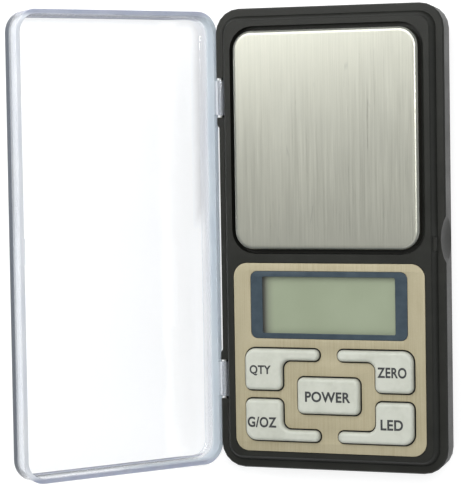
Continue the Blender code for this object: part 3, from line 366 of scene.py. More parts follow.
def case_plastic():
    """Matt black ABS with a spark-eroded texture and paler, slightly rubbed patches. Inside
    the hinge notches it is painted near black and matt, as painted shade in those pockets."""
    n = Nodes("case_plastic")
    grain = n.noise(5200.0, 3.0, 0.65)
    broad = n.noise(140.0, 3.0)
    streak = n.noise(60.0, 4.0, 0.6, n.scaled((1.0, 5.0, 1.0), (0.0, 0.0, 0.5)))
    speck = n.ramp(n.noise(2600.0, 1.0), [(0.70, (0.0, 0.0, 0.0)), (0.76, (1.0, 1.0, 1.0))])
    base = n.ramp(n.sum_of(broad, streak, 0.5), [(0.55, (0.0105, 0.0110, 0.0086)),
                                                 (0.95, (0.0150, 0.0156, 0.0126))])
    x, _, z = n.axes()
    axis = Vector(JOINTS["cover_hinge"]["pos_m"])
    # Painted shade: inside the hinge notches the colour goes near black and the gloss goes matt.
    notch_shade = n.lesser(n.spread(x, 1.0, 0.0, axis.x + 1.9 * MM, axis.x + 2.0 * MM),
                     n.spread(z, 1.0, 0.0, axis.z + 1.1 * MM, axis.z + 1.4 * MM))
    notch_shade = n.lesser(notch_shade, n.spread(z, 0.0, 1.0, axis.z - 1.2 * MM, axis.z - 1.1 * MM))
    notch_shade = n.lesser(notch_shade, n.spread(x, 0.0, 1.0, axis.x - 0.7 * MM, axis.x + 0.3 * MM))
    n.set(colour=n.mix(notch_shade, n.mix(speck, base, (0.020, 0.021, 0.018)), (0.002, 0.002, 0.002)),
          roughness=n.most(n.spread(n.sum_of(broad, grain, 0.4), 0.38, 0.50, 0.45, 0.95), notch_shade),
          specular=0.26)
    n.bump(grain, 0.00006, 0.5)
    return n.material


def brushed_steel():
    """Stainless sheet brushed along Y, with a few fine hand scratches."""
    n = Nodes("platform_steel")
    lines = n.noise(1.0, 3.0, 0.7, n.scaled((9000.0, 70.0, 9000.0)))
    coarse = n.noise(1.0, 2.0, 0.5, n.scaled((1900.0, 22.0, 1900.0)))
    cloud = n.noise(55.0, 3.0, 0.55)
    both = n.sum_of(lines, coarse, 0.6)
    shade = n.ramp(both, [(0.50, (0.390, 0.393, 0.340)), (1.10, (0.475, 0.478, 0.414))])
    shade = n.mix(n.spread(cloud, 0.0, 0.18, 0.35, 0.7), shade, (0.36, 0.365, 0.33))
    marks = []
    for scale, turn in (((260.0, 14.0, 1.0), 0.9), ((170.0, 9.0, 1.0), -0.5),
                        ((230.0, 11.0, 1.0), 1.45)):
        cell = n.add("ShaderNodeTexVoronoi", feature='DISTANCE_TO_EDGE')
        n.link(n.scaled(scale, (0.0, 0.0, turn)), cell.inputs["Vector"])
        cell.inputs["Scale"].default_value = 1.0
        thin = n.ramp(cell.outputs["Distance"], [(0.0, (1.0, 1.0, 1.0)), (0.012, (0.0, 0.0, 0.0))])
        gate = n.ramp(n.noise(120.0, 1.0, 0.5, n.scaled((1.0, 1.0, 1.0), (0.3, turn, 0.1))),
                      [(0.60, (0.0, 0.0, 0.0)), (0.68, (1.0, 1.0, 1.0))])
        marks.append(n.mix(1.0, thin, gate, 'MULTIPLY'))
    scratch = n.mix(1.0, n.mix(1.0, marks[0], marks[1], 'ADD'), marks[2], 'ADD')
    shade = n.mix(n.spread(scratch, 0.0, 0.35, 0.0, 1.0), shade, (0.27, 0.27, 0.25))
    n.set(colour=shade, metallic=1.0, roughness=n.spread(both, 0.27, 0.40, 0.5, 1.1))
    n.bump(n.sum_of(both, scratch, -0.5), 0.000006, 0.4)
    return n.material


def panel_paint():
    """Champagne metallic film with a faint vertical hairline finish."""
    n = Nodes("panel_paint")
    hair = n.noise(1.0, 3.0, 0.6, n.scaled((5200.0, 45.0, 5200.0)))
    flake = n.noise(4200.0, 1.0)
    cloud = n.noise(70.0, 3.0)
    tone = n.ramp(n.sum_of(hair, cloud, 0.8), [(0.60, (0.332, 0.290, 0.182)),
                                               (1.15, (0.410, 0.366, 0.244))])
    n.set(colour=n.mix(n.spread(flake, 0.0, 0.10, 0.5, 0.75), tone, (0.62, 0.58, 0.45)),
          metallic=0.18, roughness=n.spread(hair, 0.36, 0.46), specular=0.4)
    n.bump(n.sum_of(hair, flake, 0.25), 0.000008, 0.5)
    return n.material


def key_rubber():
    """Pale silicone rubber: satin skin, faint mottling, light passing a little way in.
    The skirt below the panel is painted near black, as painted shade in the gaps round the keys."""
    n = Nodes("key_rubber")
    mottle = n.noise(420.0, 3.0, 0.6)
    fine = n.noise(6500.0, 2.0)
    broad = n.noise(110.0, 2.0)
    tone = n.ramp(n.sum_of(mottle, broad, 0.8), [(0.60, (0.470, 0.484, 0.418)),
                                                 (1.15, (0.535, 0.549, 0.482))])
    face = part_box("keypad_panel")[1].z
    # Painted shade: below the panel face the rubber goes near black, with no light passing in.
    shown = n.spread(n.axes()[2], 0.0, 1.0, face - 0.25 * MM, face + 0.10 * MM)
    n.set(colour=n.mix(shown, (0.010, 0.010, 0.010), tone),
          roughness=n.spread(n.sum_of(mottle, fine, 0.5), 0.40, 0.52, 0.5, 1.0),
          subsurface=n.spread(shown, 0.0, 0.12, 0.0, 1.0),
          subsurface_radius=(0.0008, 0.0008, 0.0007), subsurface_scale=1.0, specular=0.45)
    n.bump(fine, 0.000015, 0.5)
    return n.material


def legend_ink():
    n = Nodes("legend_ink")
    wear = n.noise(2600.0, 3.0, 0.6)
    n.set(colour=n.ramp(wear, [(0.4, (0.020, 0.022, 0.024)), (0.8, (0.060, 0.062, 0.064))]),
          roughness=n.spread(wear, 0.5, 0.65))
    return n.material


def surround_print():
    """Slate-blue ink behind a glossy face, with slight mottling."""
    n = Nodes("surround_print")
    mottle = n.noise(300.0, 3.0, 0.6)
    orange_peel = n.noise(1400.0, 1.0)
    n.set(colour=n.ramp(mottle, [(0.35, (0.030, 0.048, 0.064)), (0.7, (0.042, 0.064, 0.082))]),
          roughness=n.spread(mottle, 0.16, 0.24), specular=0.35, coat=0.3, coat_roughness=0.05)
    n.bump(orange_peel, 0.000006, 0.35)
    return n.material


def lcd_film():
    """Grey-green polariser over a silvered back: even, with a very fine cell grid, and
    darker towards the left edge of the window, a painted shadow of the surround."""
    n = Nodes("lcd_film")
    cloud = n.noise(60.0, 2.0)
    grit = n.noise(9000.0, 2.0)
    grid = n.add("ShaderNodeTexBrick")
    n.link(n.scaled((1700.0, 1700.0, 1700.0)), grid.inputs["Vector"])
    grid.offset = 0.0
    grid.inputs["Scale"].default_value = 1.0
    grid.inputs["Mortar Size"].default_value = 0.05
    grid.inputs["Color1"].default_value = (1.0, 1.0, 1.0, 1.0)
    grid.inputs["Color2"].default_value = (0.985, 0.985, 0.985, 1.0)
    grid.inputs["Mortar"].default_value = (0.93, 0.94, 0.93, 1.0)
    tone = n.ramp(n.sum_of(cloud, grit, 0.3), [(0.45, (0.252, 0.290, 0.198)),
                                               (0.85, (0.288, 0.328, 0.230))])
    tone = n.mix(0.35, tone, n.mix(1.0, tone, grid.outputs["Color"], 'MULTIPLY'))
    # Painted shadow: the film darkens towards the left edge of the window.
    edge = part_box("display_surround")[0].x + DISPLAY_BORDER_X
    shade = n.power(n.spread(n.axes()[0], 1.0, 0.0, edge - 0.4 * MM, edge + 3.0 * MM), 1.6)
    n.set(colour=n.mix(shade, tone, (0.105, 0.100, 0.095)),
          roughness=n.spread(grit, 0.30, 0.42), specular=0.35, coat=0.25, coat_roughness=0.12)
    return n.material


def clear_plastic(half_width, half_length):
    """Clear moulded polystyrene. The walls and the thick outer corner are hazier than the flat
    plate, and their slate, blue-grey and lavender colour is painted reflection of light running
    inside the plastic; the plate beside the upper wall is darkened grey, a painted shadow of that
    wall; light scuffs on top."""
    n = Nodes("clear_plastic")
    joint = JOINTS["cover_hinge"]
    axis = Vector(joint["pos_m"])
    angle = math.radians(joint["range_deg"][1])
    shut = n.add("ShaderNodeMapping")
    n.link(n.place, shut.inputs["Vector"])
    shut.inputs["Rotation"].default_value = (0.0, angle, 0.0)
    shut.inputs["Location"].default_value = axis - Matrix.Rotation(angle, 3, 'Y') @ axis
    x, y, z = n.axes(shut.outputs["Vector"])
    corner = CASE_CORNER - COVER_INSET
    across = n.past(x, half_width - COVER_INSET - corner)
    along = n.past(y, half_length - COVER_INSET - corner)
    reach = n.add("ShaderNodeCombineXYZ")
    n.link(across, reach.inputs[0])
    n.link(along, reach.inputs[1])
    length = n.add("ShaderNodeVectorMath", operation='LENGTH')
    n.link(reach.outputs["Vector"], length.inputs[0])
    depth = length.outputs["Value"]
    wall = n.spread(depth, 0.0, 1.0, corner - 1.70 * MM, corner - 1.50 * MM)
    rim = axis.z + COVER_ABOVE_AXIS
    top = rim + COVER_HEIGHT
    upper_end = n.spread(y, 0.0, 1.0, 0.0, 10.0 * MM)
    end_edges = n.most(n.spread(z, 1.0, 0.0, rim + 0.2 * MM, rim + 1.0 * MM),
                       n.spread(z, 0.0, 1.0, top - 1.4 * MM, top - 0.7 * MM))
    ends = n.lesser(n.spread(along, 0.0, 1.0, corner - 1.9 * MM, corner - 0.9 * MM),
                    n.most(upper_end, end_edges))
    hinge_side = n.lesser(n.spread(x, 1.0, 0.0, -2.0 * MM, 2.0 * MM),
                          n.lesser(n.spread(z, 1.0, 0.0, rim + 2.4 * MM, rim + 3.4 * MM),
                                   n.spread(z, 0.0, 1.0, rim - 0.2 * MM, rim - 0.05 * MM)))
    shoulder = n.lesser(n.spread(z, 0.0, 1.0, top - 3.5 * MM, top - 3.0 * MM),
                        n.spread(x, 0.0, 1.0, -25.0 * MM, -18.0 * MM))
    lip = n.spread(z, 1.0, 0.0, rim + 0.15 * MM, rim + 0.45 * MM)
    # Painted reflection: slate on the shoulder, blue-grey on the hinge side, pale elsewhere on the
    # walls.
    sides = n.mix(hinge_side, n.mix(shoulder, (0.93, 0.95, 0.98), (0.12, 0.145, 0.185)),
                  (0.66, 0.73, 0.78))
    flow = n.noise(1.0, 2.0, 0.5, n.scaled((260.0, 55.0, 260.0)))
    # Painted reflection: lavender at the ends of the cover, varied by the flow streaks.
    edge_reflection_tint = n.mix(ends, sides, (0.52, 0.55, 0.66))
    edge_reflection_tint = n.mix(n.spread(flow, 0.0, 0.45), edge_reflection_tint, n.mix(1.0, edge_reflection_tint, (0.74, 0.78, 0.86), 'MULTIPLY'))
    ripple = n.noise(45.0, 2.0)
    plate = n.ramp(ripple, [(0.3, (0.978, 0.987, 0.998)), (0.7, (0.988, 0.994, 1.0))])
    # Painted shadow: the plate darkens to grey beside the upper wall.
    plate_edge_shadow = n.lesser(n.spread(depth, 1.0, 0.0, corner - 1.6 * MM, corner - 5.6 * MM), upper_end)
    plate = n.mix(n.power(plate_edge_shadow, 1.5), plate, (0.66, 0.665, 0.68))
    scuff = n.noise(1.0, 3.0, 0.6, n.scaled((700.0, 180.0, 400.0), (0.2, 0.1, 0.6)))
    haze = n.spread(scuff, 0.012, 0.05, 0.62, 0.80)
    clear_side = n.add("ShaderNodeMath", operation='SUBTRACT')
    clear_side.inputs[0].default_value = 1.0
    hazy = n.most(n.most(shoulder, n.lesser(lip, n.spread(x, 0.0, 1.0, -2.0 * MM, 2.0 * MM))),
                  n.most(hinge_side, ends))
    n.link(hazy, clear_side.inputs[1])
    frost = n.add("ShaderNodeMath", operation='MULTIPLY')
    n.link(wall, frost.inputs[0])
    n.link(n.spread(clear_side.outputs[0], 1.0, 0.25, 0.0, 1.0), frost.inputs[1])
    frosted = frost.outputs[0]
    n.set(colour=n.mix(wall, plate, edge_reflection_tint), roughness=n.sum_of(haze, frosted, 0.22), ior=1.49,
          transmission=n.spread(frosted, 1.0, 0.40, 0.0, 1.0), specular=0.5)
    n.bump(n.sum_of(ripple, flow, 0.15), 0.00006, 0.25)
    return n.material


def plain_steel():
    n = Nodes("steel")
    turned = n.noise(3500.0, 3.0, 0.6)
    n.set(colour=n.ramp(turned, [(0.3, (0.46, 0.46, 0.45)), (0.7, (0.66, 0.66, 0.64))]),
          metallic=1.0, roughness=n.spread(turned, 0.26, 0.42))
    n.bump(turned, 0.00001, 0.5)
    return n.material


def circuit_board():
    n = Nodes("circuit_board")
    tracks = n.add("ShaderNodeTexBrick")
    n.link(n.scaled((260.0, 260.0, 260.0)), tracks.inputs["Vector"])
    tracks.inputs["Scale"].default_value = 1.0
    tracks.inputs["Mortar Size"].default_value = 0.07
    tracks.inputs["Color1"].default_value = (0.012, 0.110, 0.045, 1.0)
    tracks.inputs["Color2"].default_value = (0.016, 0.125, 0.052, 1.0)
    tracks.inputs["Mortar"].default_value = (0.030, 0.190, 0.085, 1.0)
    weave = n.noise(2200.0, 2.0)
    n.set(colour=n.mix(n.spread(weave, 0.0, 0.15), tracks.outputs["Color"], (0.05, 0.2, 0.1)),
          roughness=n.spread(weave, 0.28, 0.40), coat=0.3, coat_roughness=0.1)
    n.bump(tracks.outputs["Fac"], 0.00002, 0.4)
    return n.material


def striped_rubber():
    n = Nodes("connector_rubber")
    wave = n.add("ShaderNodeTexWave", wave_type='BANDS', bands_direction='X')
    n.link(n.place, wave.inputs["Vector"])
    wave.inputs["Scale"].default_value = 900.0
    n.set(colour=n.ramp(wave.outputs["Fac"], [(0.45, (0.02, 0.02, 0.02)),
                                              (0.55, (0.6, 0.35, 0.33))]),
          roughness=n.spread(n.noise(2500.0), 0.5, 0.7))
    return n.material


def floor_paper():
    """Backlit white sheet: even glow with a soft shadow under the object."""
    n = Nodes("floor_paper")
    fibre = n.noise(900.0, 3.0)
    n.set(colour=n.ramp(fibre, [(0.3, (0.40, 0.40, 0.40)), (0.7, (0.43, 0.43, 0.43))]),
          roughness=0.9, specular=0.1, glow=(1.0, 1.0, 1.0), glow_strength=0.75)
    return n.material


def paint(made, material):
    made.data.materials.clear()
    made.data.materials.append(material)


# ---------------------------------------------------------------- carried-over CAD nodes
def soften(name, width, segments=3, sharp=28.0):
    """Breaks the hard edges of a CAD node for the eye, with modifiers only."""
    node = NODES[name]
    weld = node.modifiers.new("weld", 'WELD')
    weld.merge_threshold = 0.000001
    bevel = node.modifiers.new("edge", 'BEVEL')
    bevel.width = width
    bevel.segments = segments
    bevel.limit_method = 'ANGLE'
    bevel.angle_limit = math.radians(sharp)
    bevel.use_clamp_overlap = True
    node.data.shade_smooth()
    smooth = node.modifiers.new("normals", 'WEIGHTED_NORMAL')
    smooth.keep_sharp = True


def dress_cad_nodes(black, steel):
    inner = grained("inner_plastic", (0.03, 0.03, 0.03), (0.05, 0.05, 0.05), 0.6, 3200.0, 0.00004)
    alloy = grained("load_cell_alloy", (0.62, 0.62, 0.60), (0.74, 0.74, 0.72), 0.36, 2600.0,
                    0.00002, metallic=1.0)
    looks = {
        "top_case": black, "bottom_case": black, "battery_door": black,
        "hinge_pin_upper": steel, "hinge_pin_lower": steel,
        "lcd_backlight": grained("backlight", (0.72, 0.76, 0.78), (0.80, 0.83, 0.84), 0.35,
                                 2400.0, 0.00001),
        "lcd_connector_strip": striped_rubber(), "circuit_board": circuit_board(),
        "controller_chip": grained("chip", (0.015, 0.015, 0.016), (0.03, 0.03, 0.03), 0.45,
                                   4200.0, 0.00002),
        "key_mat": grained("mat_rubber", (0.36, 0.37, 0.36), (0.45, 0.46, 0.44), 0.6, 3000.0,
                           0.00002),
        "platform_carrier": inner, "load_cell_spacer": inner, "load_cell": alloy,
        "load_cell_wires": grained("wire_sleeve", (0.28, 0.015, 0.015), (0.38, 0.03, 0.03), 0.45,
                                   1500.0, 0.00002),
    }
    jacket = grained("cell_jacket", (0.04, 0.12, 0.25), (0.06, 0.17, 0.32), 0.3, 900.0, 0.00001,
                     metallic=0.3, coat=0.5)
    foot = grained("foot_rubber", (0.018, 0.018, 0.018), (0.034, 0.034, 0.033), 0.8, 3800.0,
                   0.00006)
    for name in NODES:
        if name.startswith("battery_cell"):
            looks[name] = jacket
        elif name.startswith("foot"):
            looks[name] = foot
        elif "screw" in name or name.startswith(("battery_spring", "battery_contact")):
            looks[name] = steel
    for name, material in looks.items():
        paint(NODES[name], material)
        NODES[name].data.shade_smooth()
        NODES[name].data.set_sharp_from_angle(angle=math.radians(35))
    soften("top_case", 0.12 * MM)
    soften("bottom_case", 0.25 * MM)
    soften("battery_door", 0.15 * MM)
    for name in NODES:
        if name.startswith(("case_screw", "foot")):
            soften(name, 0.06 * MM, 2)


# ---------------------------------------------------------------- platform
def make_platform():
    low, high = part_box("platform")
    centre, half_x, half_y = middle_and_half(low, high)

    def ring(z, inset):
        corner = max(PLATFORM_CORNER - inset, 0.4 * MM)
        return z, rectangle(half_x - inset, half_y - inset, corner, centre, 14)

    under = high.z - PLATFORM_SHEET
    rings = [ring(under, PLATFORM_SHEET + 1.6 * MM), ring(under, PLATFORM_SHEET + 0.7 * MM),
             ring(under - 0.2 * MM, PLATFORM_SHEET + 0.2 * MM),
             ring(under - 0.7 * MM, PLATFORM_SHEET), ring(low.z + 0.08 * MM, PLATFORM_SHEET),
             ring(low.z, PLATFORM_SHEET - 0.08 * MM), ring(low.z, 0.08 * MM),
             ring(low.z + 0.08 * MM, 0.0)]
    for drop, inset in quarter_round(7):
        rings.append(ring(high.z - PLATFORM_FILLET * drop, PLATFORM_FILLET * inset))
    rings.append(ring(high.z, PLATFORM_FILLET + 0.3 * MM))
    made = new_object("weighing_platform", closed_loft("weighing_platform", rings), "platform")
    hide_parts("platform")
    paint(made, brushed_steel())


# ---------------------------------------------------------------- keys
def corner_key_outline(low, high, side, end, grow):
    """Block with a thin arm towards the middle. low and high bound the key above its flange."""
    outer = high.x if side > 0 else -low.x
    tip_x = low.x if side > 0 else -high.x
    near, far = (low.y, high.y) if end > 0 else (-high.y, -low.y)
    quarter = math.pi / 2
    outer_x, inner_x = outer + grow, outer - KEY_BLOCK_WIDTH - grow
    tip_x, far_y, near_y = tip_x - grow, far + grow, near - grow
    arm_y = far - KEY_ARM - grow
    big = KEY_OUTER_CORNER + grow
    small = KEY_CORNER + grow
    tip = KEY_ARM / 2 - 0.1 * MM + grow
    hollow = KEY_INNER_CORNER - grow
    points = arc((outer_x - big, far_y - big), big, 0, quarter, 10)
    points += arc((tip_x + tip, far_y - tip), tip, quarter, quarter, 8)
    points += arc((tip_x + tip, arm_y + tip), tip, 2 * quarter, quarter, 8)
    points += arc((inner_x - hollow, arm_y - hollow), hollow, quarter, -quarter, 8)
    points += arc((inner_x + small, near_y + small), small, 2 * quarter, quarter, 8)
    points += arc((outer_x - small, near_y + small), small, 3 * quarter, quarter, 8)
    placed = [(side * x, end * y) for x, y in points]
    if side * end < 0:
        placed.reverse()
    return placed


def power_key_outline(low, high, grow):
    centre, half_x, half_y = middle_and_half(low, high)
    return rectangle(half_x + grow, half_y + grow, KEY_CORNER + grow, centre, 8)


def key_outline(name, grow):
    low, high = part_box(name)
    inset = Vector((KEY_FLANGE, KEY_FLANGE, 0.0))
    low, high = low + inset, high - inset
    if name == "power_key":
        return power_key_outline(low, high, grow)
    side = 1 if low.x + high.x > 0 else -1
    end = 1 if low.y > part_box("power_key")[0].y else -1
    return corner_key_outline(low, high, side, end, grow)


KEY_LEGENDS = {
    "pieces_key": ("QTY", -18.4 * MM, -34.0 * MM, 5.9 * MM),
    "units_key": ("G/OZ", -18.1 * MM, -47.5 * MM, 8.0 * MM),
    "power_key": ("POWER", 0.0 * MM, -40.5 * MM, 12.3 * MM),
    "tare_key": ("ZERO", 17.4 * MM, -33.8 * MM, 7.8 * MM),
    "light_key": ("LED", 17.2 * MM, -47.2 * MM, 6.0 * MM),
}


def make_keys():
    rubber = key_rubber()
    ink = legend_ink()
    for name, (word, x, y, width) in KEY_LEGENDS.items():
        low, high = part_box(name)
        shelf = low.z + KEY_FLANGE_THICKNESS
        side_top = high.z - KEY_FILLET
        rings = [(low.z, key_outline(name, KEY_FLANGE)), (shelf, key_outline(name, KEY_FLANGE)),
                 (shelf + 0.02 * MM, key_outline(name, 0.0)),
                 (side_top - 0.4 * MM, key_outline(name, -0.02 * MM))]
        for drop, inset in quarter_round(7):
            rings.append((high.z - KEY_FILLET * drop,
                          key_outline(name, -0.04 * MM - KEY_FILLET * inset)))
        rings.append((high.z, key_outline(name, -KEY_FILLET - 0.2 * MM)))
        made = new_object(name + "_cap", closed_loft(name, rings, 40.0), name)
        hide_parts(name)
        paint(made, rubber)
        paint(legend(name + "_legend", word, (x, y, high.z), width, name), ink)


def legend(name, word, place, width, body):
    """Plain word printed on a key."""
    curve = bpy.data.curves.new(name, 'FONT')
    curve.body = word
    curve.align_x = 'CENTER'
    curve.size = LEGEND_HEIGHT / LEGEND_CAPITAL
    curve.offset = LEGEND_WEIGHT
    curve.extrude = LEGEND_THICKNESS / 2
    curve.space_character = 1.06
    mesh = curve_to_mesh(name, curve)
    xs = [v.co.x for v in mesh.vertices]
    ys = [v.co.y for v in mesh.vertices]
    size = Vector((max(xs) - min(xs), max(ys) - min(ys)))
    middle = Vector(((max(xs) + min(xs)) / 2, (max(ys) + min(ys)) / 2, 0.0))
    squeeze = Matrix.Diagonal((width / size.x, LEGEND_HEIGHT / size.y, 1.0, 1.0))
    mesh.transform(squeeze @ Matrix.Translation(-middle))
    mesh.transform(Matrix.Translation(Vector(place) + Vector((0.0, 0.0, LEGEND_THICKNESS / 2))))
    return new_object(name, mesh, body)


# ---------------------------------------------------------------- panel and display
def display_outline():
    low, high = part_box("display_surround")
    return low - Vector((0.0, DISPLAY_TRIM, 0.0)), high + Vector((0.0, 2 * DISPLAY_TRIM, 0.0))


def make_panel():
    low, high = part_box("keypad_panel")
    centre, half_x, half_y = middle_and_half(low, high)
    outer = rectangle(half_x, half_y, PANEL_CORNER, centre)
    centre, half_x, half_y = middle_and_half(*display_outline())
    window = rectangle(half_x + WINDOW_GAP, half_y + WINDOW_GAP, DISPLAY_CORNER, centre, 6)
    holes = [key_outline(name, KEY_HOLE_GAP) for name in KEY_LEGENDS]
    mesh = flat_sheet("panel_face", outer, [window, *holes], low.z, high.z, PANEL_EDGE)
    made = new_object("panel_face", mesh, "case")
    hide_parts("keypad_panel")
    paint(made, panel_paint())


def make_display():
    low, high = display_outline()
    centre, half_x, half_y = middle_and_half(low, high)
    outer = rectangle(half_x, half_y, DISPLAY_CORNER, centre, 8)
    window = rectangle(half_x - DISPLAY_BORDER_X, half_y - DISPLAY_BORDER_Y,
                       DISPLAY_WINDOW_CORNER, centre, 4)
    made = new_object("display_border",
                      flat_sheet("display_border", outer, [window], low.z, high.z, DISPLAY_EDGE),
                      "case")
    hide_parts("display_surround")
    paint(made, surround_print())
    low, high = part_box("lcd_glass")
    centre, half_x, half_y = middle_and_half(low, high)
    film_top = low.z + FILM_SHARE * (high.z - low.z)
    rings = [(z, rectangle(half_x - inset, half_y - inset, 0.3 * MM, centre, 3))
             for z, inset in ((low.z, 0.1 * MM), (low.z + 0.1 * MM, 0.0),
                              (film_top - 0.05 * MM, 0.0), (film_top, 0.05 * MM))]
    film = new_object("lcd_film", closed_loft("lcd_film", rings), "case")
    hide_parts("lcd_glass")
    paint(film, lcd_film())


# ---------------------------------------------------------------- cover
def closed_to_open():
    """Matrix that turns a piece drawn in the shut position to where it is at rest."""
    joint = JOINTS["cover_hinge"]
    axis = Vector(joint["pos_m"])
    turn = Matrix.Rotation(-math.radians(joint["range_deg"][1]), 4, Vector(joint["axis"]))
    return Matrix.Translation(axis) @ turn @ Matrix.Translation(-axis), axis


def cover_mesh(axis):
    """Tray-shaped cover in the shut position, one closed smooth surface."""
    case_low, case_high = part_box("top_case")
    half_length = (case_high.y - case_low.y) / 2 + 0.05 * MM
    half_width = -case_low.x + 0.05 * MM
    rim = axis.z + COVER_ABOVE_AXIS
    top = rim + COVER_HEIGHT
    ceiling = top - COVER_PLATE

    def ring(z, inset):
        corner = max(CASE_CORNER - COVER_INSET - inset, 0.8 * MM)
        return z, rectangle(half_width - COVER_INSET - inset, half_length - COVER_INSET - inset,
                            corner, segments=16)

    inner = COVER_WALL + COVER_DRAFT
    fillet, break_edge, flat = COVER_FILLET, COVER_RIM_EDGE, COVER_SUPPORT
    rings = [ring(ceiling, inner + fillet + 0.5 * MM), ring(ceiling, inner + fillet + 0.1 * MM)]
    for drop, inset in reversed(list(quarter_round(8))):
        rings.append(ring(ceiling - fillet * drop, inner + fillet * inset))
    rings.append(ring(ceiling - fillet - flat, inner - 0.01 * MM))
    rings.append(ring(rim + break_edge + flat, COVER_WALL))
    for drop, inset in quarter_round(4):
        rings.append(ring(rim + break_edge * drop, COVER_WALL - break_edge * inset))
    rings.append(ring(rim, COVER_WALL - break_edge - flat))
    rings.append(ring(rim, break_edge + flat))
    for drop, inset in reversed(list(quarter_round(4))):
        rings.append(ring(rim + break_edge * drop, break_edge * inset))
    rings.append(ring(rim + break_edge + flat, 0.01 * MM))
    rings.append(ring(top - COVER_EDGE - 2 * flat, COVER_DRAFT - 0.01 * MM))
    for drop, inset in quarter_round(10):
        rings.append(ring(top - COVER_EDGE * drop, COVER_DRAFT + COVER_EDGE * inset))
    rings.append(ring(top, COVER_DRAFT + COVER_EDGE + flat))
    rings.append(ring(top, COVER_DRAFT + COVER_EDGE + 0.5 * MM))
    return closed_loft("clear_cover", rings, 40.0), rim, half_width, half_length


def box_object(name, low, high):
    bm = bmesh.new()
    bmesh.ops.create_cube(bm, size=1.0)
    low, high = Vector(low), Vector(high)
    bmesh.ops.scale(bm, vec=high - low, verts=bm.verts[:])
    bmesh.ops.translate(bm, vec=(low + high) / 2, verts=bm.verts[:])
    return linked_mesh(name, bm)


def cylinder_object(name, x, z, low_y, high_y, radius, sides):
    bm = bmesh.new()
    bmesh.ops.create_cone(bm, cap_ends=True, segments=sides, radius1=radius, radius2=radius,
                          depth=high_y - low_y)
    bmesh.ops.rotate(bm, matrix=Matrix.Rotation(math.pi / 2, 3, 'X'), verts=bm.verts[:])
    bmesh.ops.translate(bm, vec=(x, (low_y + high_y) / 2, z), verts=bm.verts[:])
    return linked_mesh(name, bm)


def boolean(target, tool, operation):
    step = target.modifiers.new(tool.name, 'BOOLEAN')
    step.operation = operation
    step.object = tool
    tool.hide_render = True


def make_cover():
    place, axis = closed_to_open()
    mesh, rim, half_width, half_length = cover_mesh(axis)
    shell = linked("clear_cover_shape", mesh)
    tools = []
    outer_x = -half_width + COVER_INSET
    for pin in ("hinge_pin_upper", "hinge_pin_lower"):
        low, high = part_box(pin)
        low_y, high_y = low.y + BARREL_SETBACK, high.y - BARREL_SETBACK
        tools.append((box_object(pin + "_tab", (outer_x + 0.06 * MM, low_y + 0.1 * MM, axis.z),
                                 (outer_x + COVER_WALL - 0.06 * MM, high_y - 0.1 * MM,
                                  rim + 1.0 * MM)), 'UNION'))
        tools.append((cylinder_object(pin + "_barrel", axis.x, axis.z, low_y, high_y,
                                      BARREL_RADIUS, 40), 'UNION'))
        tools.append((cylinder_object(pin + "_bore", axis.x, axis.z, low_y - MM, high_y + MM,
                                      BORE_RADIUS, 28), 'DIFFERENCE'))
    inner_x = half_width - COVER_INSET - COVER_WALL
    tools.append((box_object("hook", (inner_x - HOOK_REACH, HOOK_Y[0], rim + HOOK_Z[0]),
                             (inner_x + HOOK_ROOT, HOOK_Y[1], rim + HOOK_Z[1])), 'UNION'))
    for tool, operation in tools:
        boolean(shell, tool, operation)
    bpy.context.view_layer.update()
    final = bpy.data.meshes.new_from_object(
        shell.evaluated_get(bpy.context.evaluated_depsgraph_get()))
    for tool, _ in tools:
        bpy.data.objects.remove(tool)
    bpy.data.objects.remove(shell)
    final.transform(place)
    final.shade_smooth()
    final.set_sharp_from_angle(angle=math.radians(32))
    made = new_object("clear_cover", final, "cover")
    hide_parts("cover")
    paint(made, clear_plastic(half_width, half_length))


# ---------------------------------------------------------------- stage, light, camera
def make_stage():
    bm = bmesh.new()
    bmesh.ops.create_grid(bm, x_segments=1, y_segments=1, size=FLOOR_HALF)
    floor = linked_mesh("floor", bm)
    floor.location.z = cad_low.z - FLOOR_DROP
    paint(floor, floor_paper())


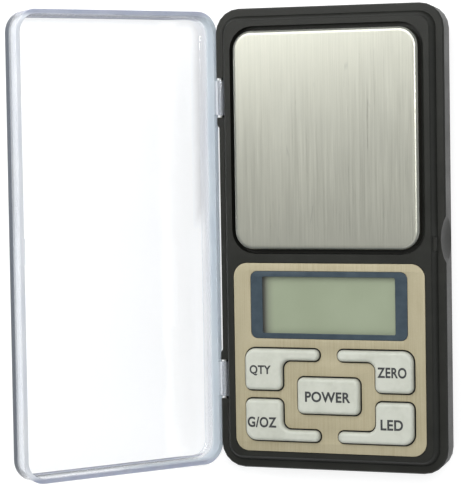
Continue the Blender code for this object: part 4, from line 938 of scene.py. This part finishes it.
def make_world():
    """Soft white tent: bright overhead, cool and darker towards the horizon."""
    world = bpy.data.worlds.new("studio")
    bpy.context.scene.world = world
    world.use_nodes = True
    tree = world.node_tree
    place = tree.nodes.new("ShaderNodeTexCoord")
    split = tree.nodes.new("ShaderNodeSeparateXYZ")
    tree.links.new(place.outputs["Generated"], split.inputs["Vector"])
    ramp = tree.nodes.new("ShaderNodeValToRGB")
    tree.links.new(split.outputs["Z"], ramp.inputs["Fac"])
    stops = [(0.0, (0.14, 0.17, 0.22)), (0.25, (0.20, 0.23, 0.28)), (0.55, (0.46, 0.47, 0.48)),
             (0.85, (0.54, 0.54, 0.53))]
    while len(ramp.color_ramp.elements) < len(stops):
        ramp.color_ramp.elements.new(0.5)
    for element, (position, colour) in zip(ramp.color_ramp.elements, stops):
        element.position = position
        element.color = (*colour, 1.0)
    background = tree.nodes["Background"]
    tree.links.new(ramp.outputs["Color"], background.inputs["Color"])
    background.inputs["Strength"].default_value = 1.0


def area_light(name, place, target, size, energy):
    lamp = bpy.data.lights.new(name, 'AREA')
    lamp.shape = 'RECTANGLE'
    lamp.size, lamp.size_y = size
    lamp.energy = energy
    made = linked(name, lamp)
    made.location = place
    made.rotation_mode = 'QUATERNION'
    made.rotation_quaternion = (Vector(place) - Vector(target)).to_track_quat('Z', 'Y')
    made.visible_camera = False


def make_camera():
    camera = bpy.data.cameras.new("camera")
    camera.lens = CAMERA_LENS
    camera.clip_start = 0.05
    camera.clip_end = 10.0
    made = linked("camera", camera)
    place = Matrix.Translation(CAMERA_TARGET)
    for axis, degrees in CAMERA_TURNS:
        place = place @ Matrix.Rotation(math.radians(degrees), 4, axis)
    made.matrix_world = place @ Matrix.Translation((0.0, 0.0, CAMERA_DISTANCE))
    bpy.context.scene.camera = made


def build():
    make_camera()
    make_stage()
    make_world()
    area_light("key", (-0.048, 0.168, 0.25), (0.0, 0.03, 0.0), (0.32, 0.17), 0.64)
    area_light("fill", (0.12, -0.36, 0.48), (0.0, 0.0, 0.0), (0.5, 0.4), 0.3)
    area_light("front", (0.23, 0.10, 0.575), (-0.02, 0.0, 0.02), (0.10, 0.10), 1.05)
    bpy.context.scene.view_settings.view_transform = 'Standard'
    dress_cad_nodes(case_plastic(), plain_steel())
    make_platform()
    make_panel()
    make_display()
    make_keys()
    make_cover()


build()
